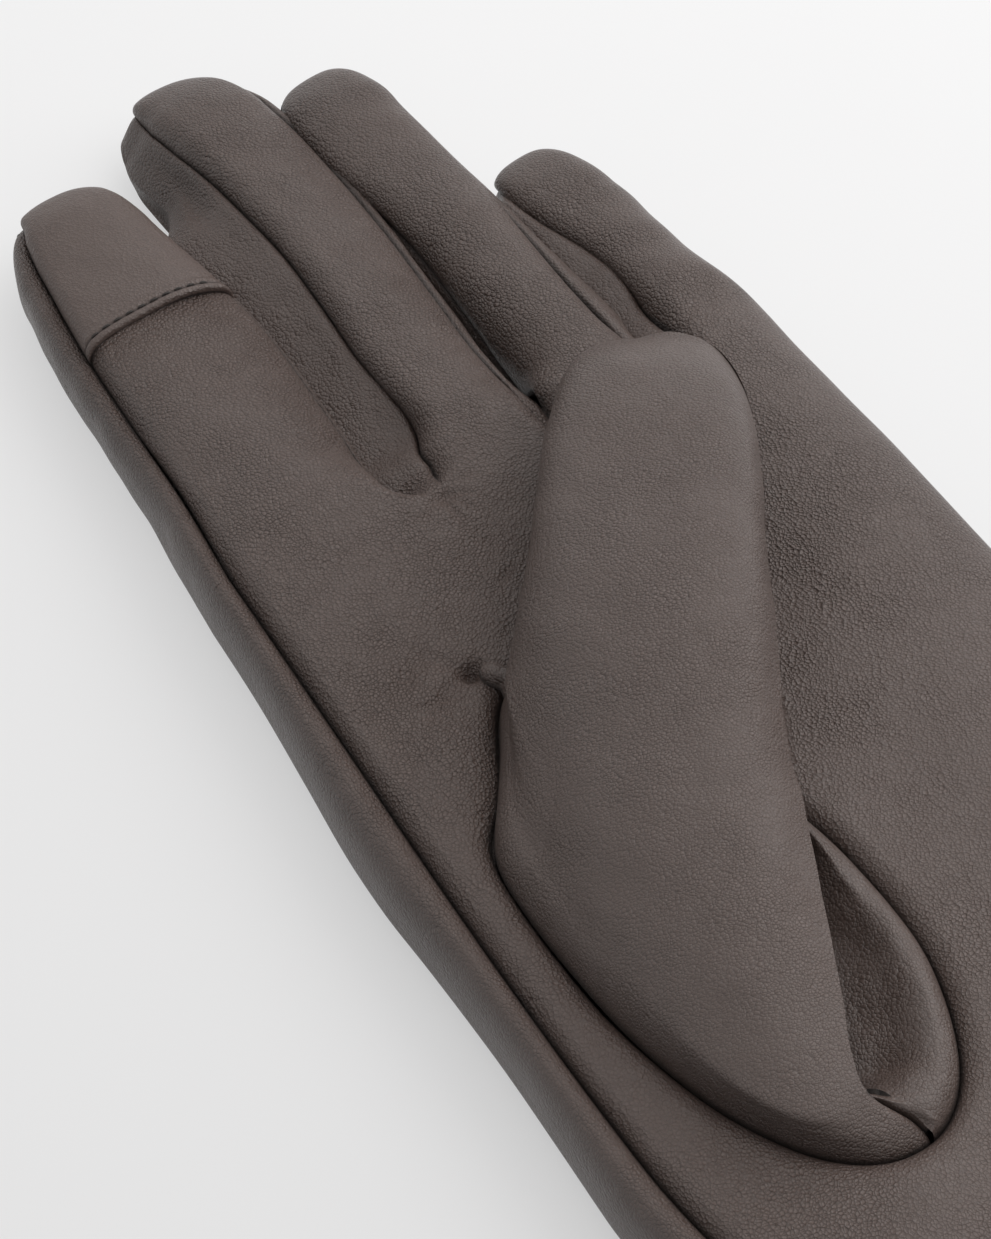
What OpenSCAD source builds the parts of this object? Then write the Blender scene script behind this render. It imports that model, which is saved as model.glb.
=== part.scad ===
// Left-hand leather glove with a touchscreen fingertip, lying palm up on its back.
// +X points to the little-finger side, +Y to the fingertips, +Z up out of the palm.
// The origin is on the resting plane, under the middle of the thumb hole's height.

/* [Hand] */
// From the origin to the crease where the fingers fold
palm_l = 76; // [66:1:90]
// From the origin to the wrist edge
cuff_l = 82; // [60:1:120]
// From the origin back to the narrowest part of the wrist
wrist_back = 60; // [50:1:66]
// Width at the wrist edge
hem_w = 87; // [80:1:100]
// Width at the narrowest part of the wrist
wrist_w = 84; // [78:1:96]
// Width across the ball of the thumb
ball_w = 96; // [90:1:104]
// Thickness of the glove over the palm
palm_h = 16.6; // [14:0.2:22]
// Height of the index-side seam above the resting plane
seam_h = 13; // [11:0.5:13.5]
// From the origin back to the ball of the thumb, where the hand is widest
ball_back = 20; // [12:1:30]
// How far the back of the glove rolls out past the index-side seam at the crease
roll_front = 3.6; // [2:0.2:6]
// How far it rolls out past that seam at the ball of the thumb
roll_ball = 7.6; // [4:0.2:9]

/* [Fingers] */
// Width of the index finger at the crease
index_w = 30.6; // [27:0.2:34]
// Width of the middle finger at the crease
middle_w = 21; // [18:0.5:25]
// Width of the ring finger at the crease
ring_w = 17.6; // [15:0.2:23]
// Width of the little finger at the crease
little_w = 16.4; // [14:0.2:21]
// Length of the index finger past the crease
index_l = 71.5; // [62:0.5:85]
// Length of the middle finger past the crease
middle_l = 82; // [70:0.5:95]
// Length of the ring finger past the crease
ring_l = 71.5; // [60:0.5:85]
// Length of the little finger past the crease
little_l = 41.5; // [36:0.5:60]
// Space between two neighbouring fingers at the crease
finger_gap = 0.8; // [0.6:0.1:2]
// Height of a finger at the crease
finger_h = 17; // [15:0.2:22]
// Share of the crease height left where the tip starts to round off
finger_taper = 0.82; // [0.7:0.02:0.95]
// Length of the rounded tip
tip_l = 13; // [9:0.5:18]

/* [Thumb] */
// Width of the oval hole that the thumb is set into
hole_w = 35; // [30:1:38]
// Length of that hole
hole_l = 78; // [70:1:84]
// Where the middle of the hole lies across the hand
hole_x = -20.5; // [-22:0.5:-18]
// Where the middle of the hole lies along the hand
hole_y = 2.5; // [0:0.5:8]
// Reach of the thumb tip across the hand from the middle of the hole
tip_x = 41; // [35:0.5:44]
// Reach of the thumb tip along the hand from the middle of the hole
tip_y = 66.5; // [58:0.5:67]
// Height of the folded thumb above the palm at its thickest
thumb_rise = 12; // [9:0.5:16]

/* [Leather and lining] */
// Thickness of the outer leather
leather_t = 1; // [0.7:0.1:1.4]
// Thickness of the knitted lining
lining_t = 0.8; // [0.5:0.1:1.2]
// Space between leather and lining, and between two sewn edges
layer_gap = 0.2; // [0.1:0.05:0.4]
// Width of the binding round the wrist edge
binding_w = 1.6; // [1:0.2:4]

/* [Touchscreen cap] */
// Length of the conductive cap over the index fingertip
cap_l = 32; // [24:0.5:40]
// Thickness of the cap leather
cap_t = 0.8; // [0.6:0.1:1.2]

/* [Stitching] */
// Length of one wrist stitch
stitch_l = 2.6; // [1.6:0.1:3.2]
// Distance from one wrist stitch to the next
stitch_pitch = 4; // [3.4:0.1:6]
// Thickness of the sewing thread
thread_t = 0.4; // [0.3:0.05:0.6]
// Distance of the wrist stitches from the edge that they hold down
stitch_in = 4; // [2:0.5:8]
// Length of one stitch on the fingertip cap
cap_stitch_l = 1.5; // [1:0.1:2]
// Distance from one cap stitch to the next
cap_stitch_pitch = 2.2; // [2.1:0.1:4]
// Distance of the cap stitches from the cap's edge
cap_stitch_in = 1.4; // [1:0.1:3]

/* [Hidden] */

leather_col = [0.41, 0.365, 0.345];
dark_col = [0.33, 0.29, 0.275];
lining_col = [0.25, 0.22, 0.21];
thread_col = [0.2, 0.17, 0.16];

// Clearance between two parts that turn against each other
body_gap = 0.3;
// Sideways position of the middle of the hand at the ball of the thumb and at the wrist
ball_mid = -6;
wrist_mid = -4;
// Height of the widest point on the little-finger side and on the index side
side_h = 8;
roll_h = 5.5;
// How far the flat underside is pressed in: above 1 leaves a flat resting face
press = 1.14;
// The upper seam of a finger lies this many degrees above its widest line, the lower one below
upper_seam = 30;
lower_seam = 22;
index_seam = 148;
inner = leather_t + layer_gap;
full_in = inner + lining_t;

finger_ws = [index_w, middle_w, ring_w, little_w];
knuckle_w = index_w + middle_w + ring_w + little_w + 3 * finger_gap;

// ---- small helpers ----
function lerp(a, b, t) = a + (b - a) * t;
function spow(v, e) = sign(v) * pow(abs(v), e);
function unit(v) = norm(v) < 1e-9 ? [0, 0, 0] : v / norm(v);
function steps(a, b, n) = [for (i = [0:n]) lerp(a, b, i / n)];
// Smooth curve through four values at the stations k
function through(k, v, y) =
    let (i = y < k[1] ? 0 : y < k[2] ? 1 : 2,
         t = (y - k[i]) / (k[i + 1] - k[i]),
         m0 = i == 0 ? 0 : (v[i + 1] - v[i - 1]) / (k[i + 1] - k[i - 1]),
         m1 = i == 2 ? (v[3] - v[2]) / (k[3] - k[2]) : (v[i + 2] - v[i]) / (k[i + 2] - k[i]),
         d = k[i + 1] - k[i])
    (2 * t * t * t - 3 * t * t + 1) * v[i] + (t * t * t - 2 * t * t + t) * d * m0
    + (3 * t * t - 2 * t * t * t) * v[i + 1] + (t * t * t - t * t) * d * m1;
function bezier(p, t) =
    pow(1 - t, 3) * p[0] + 3 * pow(1 - t, 2) * t * p[1]
    + 3 * (1 - t) * t * t * p[2] + t * t * t * p[3];

// ---- solids from grids of points ----
// Faces of a sheet with rows x cols points on each of two faces, outer points first.
// closed joins the last column to the first, at(r, c) numbers the points of one face.
// Column open_from has no faces: it is the thumb hole, walled in the rows where open(r) holds.
function sheet_faces(rows, cols, closed, at, open_from = -1, open = function (r) false) =
    let (last = closed ? cols : cols - 1,
         half = rows * cols,
         q = function (r, c) at(r, c % cols),
         walls = function (r) open(r) || open(r + 1))
    concat(
        [for (r = [0:rows - 2], c = [0:last - 1]) if (c != open_from)
            each [[q(r, c), q(r, c + 1), q(r + 1, c + 1)], [q(r, c), q(r + 1, c + 1), q(r + 1, c)]]],
        [for (r = [0:rows - 2], c = [0:last - 1]) if (c != open_from)
            each [[half + q(r, c), half + q(r + 1, c + 1), half + q(r, c + 1)],
                  [half + q(r, c), half + q(r + 1, c), half + q(r + 1, c + 1)]]],
        [for (c = [0:last - 1]) if (c != open_from) each [
            [q(0, c + 1), q(0, c), half + q(0, c)],
            [q(0, c + 1), half + q(0, c), half + q(0, c + 1)],
            [q(rows - 1, c), q(rows - 1, c + 1), half + q(rows - 1, c + 1)],
            [q(rows - 1, c), half + q(rows - 1, c + 1), half + q(rows - 1, c)]]],
        closed ? [] : [for (r = [0:rows - 2]) each [
            [q(r, 0), q(r + 1, 0), half + q(r + 1, 0)],
            [q(r, 0), half + q(r + 1, 0), half + q(r, 0)],
            [q(r + 1, cols - 1), q(r, cols - 1), half + q(r, cols - 1)],
            [q(r + 1, cols - 1), half + q(r, cols - 1), half + q(r + 1, cols - 1)]]],
        open_from < 0 ? [] : [for (r = [0:rows - 2]) if (walls(r)) each [
            [q(r + 1, open_from), q(r, open_from), half + q(r, open_from)],
            [q(r + 1, open_from), half + q(r, open_from), half + q(r + 1, open_from)],
            [q(r, open_from + 1), q(r + 1, open_from + 1), half + q(r + 1, open_from + 1)],
            [q(r, open_from + 1), half + q(r + 1, open_from + 1), half + q(r, open_from + 1)]]]
    );
// Outward normal of the surface s(t, a), and the point that lies d inside it
function normal_at(s, t, a) =
    let (e = 0.004, f = 6)
    unit(cross(s(min(1, t + e), a) - s(max(0, t - e), a), s(t, a + f) - s(t, a - f)));
function inside(s, t, a, d) = s(t, a) - d * normal_at(s, t, a);
// A sheet of the surface s between the depths d0 and d1, kept above the height low
module sheet(s, ts, as, d0, d1, closed = false, low = 0) {
    rows = len(ts);
    cols = len(as);
    points = [for (d = [d0, d1], t = ts, a = as)
        let (p = inside(s, t, a, d)) [p[0], p[1], max(low, p[2])]];
    polyhedron(points, sheet_faces(rows, cols, closed, function (r, c) r * cols + c));
}
// Stitches: one small bar per pair of ends, pushed out along its own normal
function bar_points(a, b, n, w, lift, tall) =
    let (side = unit(cross(b - a, n)) * w / 2)
    [for (z = [lift, lift + tall]) each
        [a - side + n * z, b - side + n * z, b + side + n * z, a + side + n * z]];
function bar_faces(k) = [for (f = [[0, 3, 2, 1], [4, 5, 6, 7], [0, 1, 5, 4], [1, 2, 6, 5],
                                   [2, 3, 7, 6], [3, 0, 4, 7]]) [for (i = f) 8 * k + i]];
// ends holds [start, end, normal] of each stitch
module stitches(ends, lift) {
    color(thread_col) polyhedron(
        [for (s = ends) each bar_points(s[0], s[1], s[2], thread_t, lift, thread_t)],
        [for (k = [0:len(ends) - 1]) each bar_faces(k)]);
}

// ---- the hand ----
hand_rows = concat(
    steps(palm_l - body_gap / 2, hole_y + hole_l / 2 + 6, 3),
    [for (i = [0:12]) hole_y + hole_l / 2 * sin(90 - 15 * i)],
    steps(hole_y - hole_l / 2 - 6, -cuff_l, 5));
hand_k = [-cuff_l, -wrist_back, -ball_back, palm_l];
function hand_width(y) = through(hand_k, [hem_w, wrist_w, ball_w, knuckle_w], y);
function hand_mid(y) = through(hand_k, [wrist_mid, wrist_mid, ball_mid, 0], y);
function left_x(y) = hand_mid(y) - hand_width(y) / 2;
function right_x(y) = hand_mid(y) + hand_width(y) / 2;
function roll_at(y) = through(hand_k, [roll_front, roll_front, roll_ball, roll_front], y);
function seam_x(y) = left_x(y) + roll_at(y);
// Height of the palm at a sideways position
function palm_z(x, y) =
    let (s = (x - seam_x(y)) / (right_x(y) - seam_x(y)),
         c = pow(abs(2 * s - 1), 1.5),
         low = lerp(seam_h, side_h, s))
    low + (palm_h - low) * pow(max(0, 1 - c * c), 0.3);
function hole_half(y) = hole_w / 2 * sqrt(max(0, 1 - pow((y - hole_y) / (hole_l / 2), 2)));
function in_hole(y) = abs(y - hole_y) < hole_l / 2 - 0.01;
// Columns round one cross-section: palm left of the hole, palm right of it, underside, roll
palm_left_n = 4;
palm_right_n = 9;
under_n = 14;
roll_n = 4;
function hand_section(y) =
    let (xs = seam_x(y), xr = right_x(y), xl = left_x(y),
         h0 = hole_x - hole_half(y), h1 = hole_x + hole_half(y),
         left = [for (t = steps(0, 1, palm_left_n))
             let (x = lerp(xs, h0, t * sqrt(t))) [x, palm_z(x, y)]],
         right = [for (t = steps(0, 90, palm_right_n))
             let (x = lerp(h1, xr, sin(t))) [x, palm_z(x, y)]],
         under = [for (i = [1:under_n]) let (b = 180 * i / under_n)
             [lerp(xl, xr, 0.5) + (xr - xl) / 2 * spow(cos(b), 0.6),
              max(0, lerp(side_h, roll_h, i / under_n) * (1 - press * pow(max(0, sin(b)), 0.5)))]],
         roll = [for (i = [1:roll_n]) let (b = 90 * i / roll_n)
             [lerp(xl, xs - body_gap, 1 - cos(b)), lerp(roll_h, seam_h, sin(b))]])
    concat(left, right, under, roll);
hand_cols = palm_left_n + palm_right_n + 2 + under_n + roll_n;
// Points d inside a cross-section, with true corners
function inset(p, d, closed) =
    let (n = len(p),
         dir = function (i, j) unit(p[j] - p[i]),
         before = [for (i = [0:n - 1]) i == 0 ? (closed ? dir(n - 1, 0) : dir(0, 1))
             : norm(p[i] - p[i - 1]) < 1e-6 ? dir(i - 2, i - 1) : dir(i - 1, i)],
         after = [for (i = [0:n - 1]) i == n - 1 ? (closed ? dir(n - 1, 0) : dir(n - 2, n - 1))
             : norm(p[i + 1] - p[i]) < 1e-6 ? dir(i + 1, i + 2) : dir(i, i + 1)])
    [for (i = [0:n - 1]) let (a = [before[i][1], -before[i][0]], b = [after[i][1], -after[i][0]])
        p[i] + d * (a + b) / max(0.6, 1 + a * b)];
function hand_at(r, c) =
    r * hand_cols + (c == palm_left_n + 1 && !in_hole(hand_rows[r]) ? palm_left_n : c);
function hand_points(rows, d, closed) =
    [for (y = rows) each [for (p = inset(hand_section(y), d, closed)) [p[0], y, p[1]]]];
module hand_layer(d0, d1, closed) {
    rows = len(hand_rows);
    polyhedron(
        concat(hand_points(hand_rows, d0, closed), hand_points(hand_rows, d1, closed)),
        sheet_faces(rows, hand_cols, closed, function (r, c) hand_at(r, c), palm_left_n,
            function (r) r < rows && in_hole(hand_rows[r])));
}
module trank() {
    color(leather_col) hand_layer(0, leather_t, false);
}
module hand_lining() {
    color(lining_col) hand_layer(inner, full_in, true);
}
// The binding closes the wrist edge: a ring as deep as leather and lining together
module wrist_binding() {
    y0 = -cuff_l - layer_gap;
    ring = hand_section(-cuff_l);
    rows = [y0, y0 - binding_w];
    pts = function (d) [for (y = rows) each [for (p = inset(ring, d, true)) [p[0], y, p[1]]]];
    solid_at = function (r, c) r * hand_cols + (c == palm_left_n + 1 ? palm_left_n : c);
    color(dark_col) polyhedron(
        concat(pts(0), pts(full_in)),
        sheet_faces(2, hand_cols, true, solid_at, palm_left_n));
}
// Walk along a polyline: the point at a given distance, with the outward normal there
function walk(p, s, i = 0) =
    let (d = norm(p[i + 1] - p[i]))
    s <= d || i >= len(p) - 2 ? [p[i] + unit(p[i + 1] - p[i]) * s, unit(p[i + 1] - p[i])]
    : walk(p, s - d, i + 1);
function path_length(p) =
    [for (i = 0, s = 0; i < len(p) - 1; s = s + norm(p[i + 1] - p[i]), i = i + 1) s][len(p) - 2]
    + norm(p[len(p) - 1] - p[len(p) - 2]);
module wrist_stitching() {
    y = -cuff_l + stitch_in;
    upper = [for (p = hand_section(y)) if (p[1] > 0.85 * palm_h) [p[0], y, p[1]]];
    total = path_length(upper);
    count = floor((total - stitch_l) / stitch_pitch);
    start = (total - (count - 1) * stitch_pitch - stitch_l) / 2;
    stitches([for (k = [0:count - 1])
        let (a = walk(upper, start + k * stitch_pitch),
             b = walk(upper, start + k * stitch_pitch + stitch_l),
             dir = unit(b[0] - a[0]))
        [a[0], b[0], [-dir[2], 0, dir[0]]]], layer_gap);
}
// Small gusset let into the crotch of the thumb
module thumb_quirk() {
    q = [hole_x - 1, hole_y + hole_l / 2 - 1.5];
    color(leather_col) translate([q[0], q[1], palm_h + layer_gap]) linear_extrude(leather_t)
        polygon([[-5.8, 1], [-2.5, 0.6], [-1.9, 4.8]]);
}

// ---- the fingers ----
// [middle at the crease, sideways lean by the tip, width, length, share of the width left where
// the tip starts to round off]
crease_y = palm_l + body_gap / 2;
function sum_to(v, i) = i < 1 ? 0 : v[i - 1] + sum_to(v, i - 1);
function crease_mid(i) =
    -knuckle_w / 2 + sum_to(finger_ws, i) + finger_gap * i + finger_ws[i] / 2;
index = [crease_mid(0), 4, index_w, index_l, 0.68];
middle = [crease_mid(1), 0.6, middle_w, middle_l, 0.96];
ring = [crease_mid(2), 0.8, ring_w, ring_l, finger_taper];
little = [crease_mid(3), -1.6, little_w, little_l, finger_taper];
// Share of t spent on the straight part of a finger, the rest goes to its rounded tip
straight_share = 0.55;
// Last t of a tip, short of the point where all columns would meet
tip_end = 0.985;
// Surface of a finger: t runs from the crease to the tip, a round it from the little-finger side
function finger_surface(f) = function (t, a)
    let (len0 = f[3] - tip_l,
         b = t < straight_share ? 0 : 90 * (t - straight_share) / (1 - straight_share),
         run = t < straight_share ? len0 * t / straight_share : len0 + tip_l * sin(b),
         small = lerp(1, f[4], min(1, run / len0)),
         k = cos(b),
         w = f[2] / 2 * small * pow(k, 0.8),
         tall = lerp(1, finger_taper, min(1, run / len0)),
         up = sin(a) > 0)
    [f[0] + f[1] * run / f[3] + w * spow(cos(a), 0.8),
     crease_y + run,
     side_h + (up ? (finger_h * tall - side_h) * pow(k, 0.8) * pow(abs(sin(a)), 0.85)
                  : -side_h * pow(k, 0.8) * min(1, press * pow(abs(sin(a)), 0.6)))];
tip_ts = [for (i = [1:6]) lerp(straight_share, tip_end, sin(15 * i))];
finger_ts = concat(steps(0, straight_share, 4), tip_ts);
// Turn round a finger that leaves one layer gap between two sewn edges
function edge_deg(f) = layer_gap / f[2] * 170;
module finger_panel(f, from, to, n, col = leather_col) {
    trim = edge_deg(f) / 2;
    color(col) sheet(finger_surface(f), finger_ts, steps(from + trim, to - trim, n), 0, leather_t);
}
module finger_tube(f) {
    color(lining_col) sheet(finger_surface(f), finger_ts, [for (i = [0:23]) 15 * i],
        inner, full_in, closed = true);
}
module fourchette(f, little_side) {
    if (little_side) finger_panel(f, -lower_seam, upper_seam, 5, dark_col);
    else finger_panel(f, 180 - upper_seam, 180 + lower_seam, 5, dark_col);
}
module finger_front(f) {
    finger_panel(f, upper_seam, 180 - upper_seam, 12);
}
module finger_back(f) {
    finger_panel(f, 180 + lower_seam, 360 - lower_seam, 12);
}
module index_front() {
    finger_panel(index, upper_seam, index_seam, 12);
}
module index_back() {
    finger_panel(index, index_seam, 360 - lower_seam, 18);
}
module index_fourchette() {
    fourchette(index, true);
}
module index_lining() {
    finger_tube(index);
}
// Where a distance back from the fingertip falls on the finger's surface
function back_from_tip(f, d) = straight_share * (f[3] - d) / (f[3] - tip_l);
cap_ts = concat(steps(back_from_tip(index, cap_l), straight_share, 3), tip_ts);
module touch_cap() {
    color(leather_col) sheet(finger_surface(index), cap_ts,
        steps(upper_seam + 4, index_seam - 4, 14), -layer_gap - cap_t, -layer_gap);
}
module touch_cap_stitching() {
    s = finger_surface(index);
    t = back_from_tip(index, cap_l - cap_stitch_in);
    row = [for (a = steps(upper_seam + 12, index_seam - 12, 40)) inside(s, t, a, -layer_gap - cap_t)];
    count = floor((path_length(row) - cap_stitch_l) / cap_stitch_pitch);
    stitches([for (k = [0:count])
        let (a = walk(row, k * cap_stitch_pitch), b = walk(row, k * cap_stitch_pitch + cap_stitch_l),
             dir = unit(a[0] - b[0]))
        [a[0], b[0], unit([-dir[2], 0, dir[0]])]], layer_gap);
}
module middle_front() {
    finger_front(middle);
}
module middle_back() {
    finger_back(middle);
}
module middle_fourchette_index_side() {
    fourchette(middle, false);
}
module middle_fourchette_ring_side() {
    fourchette(middle, true);
}
module middle_lining() {
    finger_tube(middle);
}
module ring_front() {
    finger_front(ring);
}
module ring_back() {
    finger_back(ring);
}
module ring_fourchette_middle_side() {
    fourchette(ring, false);
}
module ring_fourchette_little_side() {
    fourchette(ring, true);
}
module ring_lining() {
    finger_tube(ring);
}
// The leather runs round the outer side of the little finger without a seam
module little_wrap() {
    finger_panel(little, lower_seam - 180, 180 - upper_seam, 26);
}
module little_fourchette() {
    fourchette(little, false);
}
module little_lining() {
    finger_tube(little);
}

// ---- the thumb ----
// The thumb is a bent tube from the oval hole to its tip, lying across the palm.
// Four curves carry it: its two edges, the middle of its upper side and of its underside.
thumb_z = palm_h + body_gap;
thumb_tip = [hole_x + tip_x, hole_y + tip_y, thumb_z + 0.45 * thumb_rise];
// Turn of the rim where the right side seam of the thumb starts
hole_turn = -84;
// Turn round the thumb where the lining ends, short of the fold beside the right seam
lining_end = 262;
hole_c = [hole_x, hole_y, thumb_z];
function hole_point(a) = hole_c + [hole_w / 2 * cos(a), hole_l / 2 * sin(a), 0];
// A curve from one point of the hole's rim to the tip, with the pull it has at each end
function guide(turn, leave, arrive) = [
    hole_point(hole_turn + turn), hole_point(hole_turn + turn) + leave,
    thumb_tip + arrive, thumb_tip];
right_edge = guide(0, [2, 34, 0.5 * thumb_rise], [17, -13, 0]);
left_edge = guide(180, [8, -1, 0.4 * thumb_rise], [-15, 9, 0]);
upper_mid = guide(-90, [4, 5, 1.2 * thumb_rise], [-2, -10, 1.3 * thumb_rise]);
under_mid = guide(90, [3, 10, 0], [-9, -12, -1.1 * thumb_rise]);
thumb_surface = function (t, a)
    let (l = bezier(left_edge, t), r = bezier(right_edge, t), mid = (l + r) / 2,
         u = bezier(upper_mid, t) - mid, d = bezier(under_mid, t) - mid,
         blunt = min(1, 5 * t),
         p = mid + (r - l) / 2 * spow(cos(a), lerp(1, 0.86, blunt))
             + (sin(a) > 0 ? u : d) * pow(abs(sin(a)), lerp(1, 0.66, blunt)))
    [p[0], p[1], max(thumb_z, p[2])];
thumb_ts = [for (i = [0:11]) 0.98 * pow(sin(90 * i / 11), 1.1)];
upper_as = steps(0.7, 179.3, 18);
module thumb_front() {
    color(leather_col) sheet(thumb_surface, thumb_ts, upper_as, 0, leather_t, low = thumb_z);
}
module thumb_back() {
    color(dark_col) sheet(thumb_surface, thumb_ts, steps(180.7, 359.3, 18), 0, leather_t,
        low = thumb_z);
}
// The lining starts a little above the rim
module thumb_lining() {
    color(lining_col) sheet(thumb_surface, [for (t = thumb_ts) if (t > 0.2) t],
        concat(upper_as, steps(180.7, lining_end, 14)), inner, full_in, low = thumb_z + inner);
}

trank();
hand_lining();
wrist_binding();
wrist_stitching();
thumb_quirk();
index_front();
index_back();
index_fourchette();
index_lining();
touch_cap();
touch_cap_stitching();
middle_front();
middle_back();
middle_fourchette_index_side();
middle_fourchette_ring_side();
middle_lining();
ring_front();
ring_back();
ring_fourchette_middle_side();
ring_fourchette_little_side();
ring_lining();
little_wrap();
little_fourchette();
little_lining();
thumb_front();
thumb_back();
thumb_lining();
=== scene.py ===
# Looks of the left-hand leather glove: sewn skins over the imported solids.
# Lengths in this file are in mm and turns in degrees, until a mesh is made.
# Tables said to be read from the photo hold rounded values that a scratch helper printed for marks
# on the photo; report.md says which.
import math

import bpy
import numpy as np
from mathutils import Matrix, Vector


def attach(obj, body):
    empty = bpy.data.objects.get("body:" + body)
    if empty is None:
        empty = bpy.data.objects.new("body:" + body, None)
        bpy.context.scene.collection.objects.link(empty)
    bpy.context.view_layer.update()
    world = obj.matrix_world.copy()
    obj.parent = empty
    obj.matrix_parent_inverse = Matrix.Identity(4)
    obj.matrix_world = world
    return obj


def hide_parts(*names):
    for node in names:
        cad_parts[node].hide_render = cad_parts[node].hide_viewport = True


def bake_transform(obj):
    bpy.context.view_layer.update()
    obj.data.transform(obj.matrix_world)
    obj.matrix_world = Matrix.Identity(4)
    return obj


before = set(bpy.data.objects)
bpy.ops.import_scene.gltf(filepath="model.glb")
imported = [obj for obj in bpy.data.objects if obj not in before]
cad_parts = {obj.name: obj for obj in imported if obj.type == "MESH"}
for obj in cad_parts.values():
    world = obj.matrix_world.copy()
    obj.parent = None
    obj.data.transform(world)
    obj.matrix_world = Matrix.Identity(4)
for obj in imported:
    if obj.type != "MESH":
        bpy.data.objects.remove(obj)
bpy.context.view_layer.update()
MM = 0.001


# ---- small helpers ----
def lerp(a, b, t):
    return a + (b - a) * t


def smooth(t):
    t = np.clip(t, 0, 1)
    return t * t * (3 - 2 * t)


def spow(v, e):
    return np.sign(v) * np.abs(v) ** e


def unit(v):
    return v / np.maximum(np.linalg.norm(v, axis=-1, keepdims=True), 1e-9)


def cosd(a):
    return np.cos(np.radians(a))


def sind(a):
    return np.sin(np.radians(a))


def hump(x, centre, half):
    """1 at the centre, falling smoothly to 0 at a distance of half"""
    return smooth(1 - np.abs(x - centre) / half)


def table(pairs):
    xs, ys = zip(*pairs)
    return lambda x: curve(x, xs, ys) if len(xs) > 1 else ys[0] + 0 * x


def curve(x, xs, ys, slope=None):
    """Smooth curve through the points (xs, ys)"""
    xs, ys = np.array(xs, float), np.array(ys, float)
    slope = np.gradient(ys, xs) if slope is None else slope
    x = np.clip(np.asarray(x, float), xs[0], xs[-1])
    i = np.clip(np.searchsorted(xs, x, side="right") - 1, 0, len(xs) - 2)
    h = xs[i + 1] - xs[i]
    u = (x - xs[i]) / h
    return ((2 * u**3 - 3 * u**2 + 1) * ys[i] + (u**3 - 2 * u**2 + u) * h * slope[i]
            + (3 * u**2 - 2 * u**3) * ys[i + 1] + (u**3 - u**2) * h * slope[i + 1])


def walked(p, axis=0):
    """Distance walked along a line of points, or along one axis of a grid"""
    step = np.linalg.norm(np.diff(p, axis=axis), axis=-1)
    return np.concatenate([0 * np.take(step, [0], axis), np.cumsum(step, axis)], axis)


def point_at(d, gone, line):
    """Places on a line at the distances d, where gone is walked(line)"""
    return np.stack([np.interp(d, gone, v) for v in line.T], -1)


def waves(p, size, seed, stretch=(1, 1, 1), count=14):
    """Smooth seeded unevenness of about -1 to 1 with bumps of the given size"""
    rng = np.random.default_rng(seed)
    k = rng.normal(size=(count, 3))
    k = k / np.linalg.norm(k, axis=1, keepdims=True) * rng.uniform(0.6, 1.4, (count, 1))
    k = k * np.array(stretch) * 2 * math.pi / size
    phase = rng.uniform(0, 2 * math.pi, count)
    return np.cos(p @ k.T + phase).sum(-1) / math.sqrt(count)


# ---- the hand's surfaces, the same as in the part's source ----
PALM_L, CUFF_L = 76.0, 82.0
PALM_H, SEAM_H, SIDE_H, ROLL_H = 16.6, 13.0, 8.0, 5.5
PRESS, TIP_L, FINGER_H, GAP, TAPER = 1.14, 13.0, 17.0, 0.8, 0.82
WIDTHS = {"index": 30.6, "middle": 21.0, "ring": 17.6, "little": 16.4}
KNUCKLE = sum(WIDTHS.values()) + 3 * GAP
STATIONS = np.array([-CUFF_L, -60.0, -20.0, PALM_L])
HOLE_X, HOLE_Y, HOLE_W, HOLE_L = -20.5, 2.5, 35.0, 78.0


def through(v, y):
    """Smooth curve through four values at the stations"""
    k, v = STATIONS, np.array(v, float)
    m = np.array([0, (v[2] - v[0]) / (k[2] - k[0]), (v[3] - v[1]) / (k[3] - k[1]),
                  (v[3] - v[2]) / (k[3] - k[2])])
    return curve(y, k, v, m)


def half_x(y):
    return through([87, 84, 96, KNUCKLE], y) / 2


def mid_x(y):
    return through([-4, -4, -6, 0], y)


def left_x(y):
    return mid_x(y) - half_x(y)


def right_x(y):
    return mid_x(y) + half_x(y)


def seam_x(y):
    return left_x(y) + through([3.6, 3.6, 7.6, 3.6], y)


def palm_z(x, y):
    """Height of the palm; the steep last millimetres at the seam are left to the seam's roll"""
    xs, xr = seam_x(y), right_x(y)
    s = np.clip((np.maximum(x, xs + 2.5) - xs) / (xr - xs), 0, 1)
    c = np.abs(2 * s - 1) ** 1.5
    low = lerp(SEAM_H, SIDE_H, s)
    return low + (PALM_H - low) * np.maximum(0, 1 - c * c) ** 0.3


# Read from the photo's left outline through the fitted camera, then rounded: y, and how far in
TUCK = ((-82, -62, -42, -22, -10, 3, 12, 20, 28, 36, 50, 63, 76),
        (0.6, 1.0, 1.9, 2.75, 3.25, 3.2, 2.6, 1.8, 0.8, 0.25, 0.25, 0.3, 0))


def tuck(y):
    """How far the worn-in roll lies inside the solid's edge on the index side"""
    return curve(y, *TUCK)


def under_section(b, y):
    """The underside from the little-finger side at b = 0 to the index side at b = 180"""
    x = mid_x(y) + half_x(y) * spow(cosd(b), 0.6) + tuck(y) * smooth((b - 110) / 70)
    z = lerp(SIDE_H, ROLL_H, b / 180) * (1 - PRESS * np.maximum(0, sind(b)) ** 0.5)
    return np.broadcast_arrays(x, np.maximum(0, z))


ROLL_E, ROLL_RISE = 0.66, 0.9    # roundness of the roll, and its height over the seam


def roll_section(b, y):
    """The roll on the index side from its widest point at b = 0 to the seam at b = 90"""
    return np.broadcast_arrays(lerp(left_x(y) + tuck(y), seam_x(y), 1 - spow(cosd(b), ROLL_E)),
                               lerp(ROLL_H, SEAM_H + ROLL_RISE, np.abs(sind(b)) ** ROLL_E))


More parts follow.
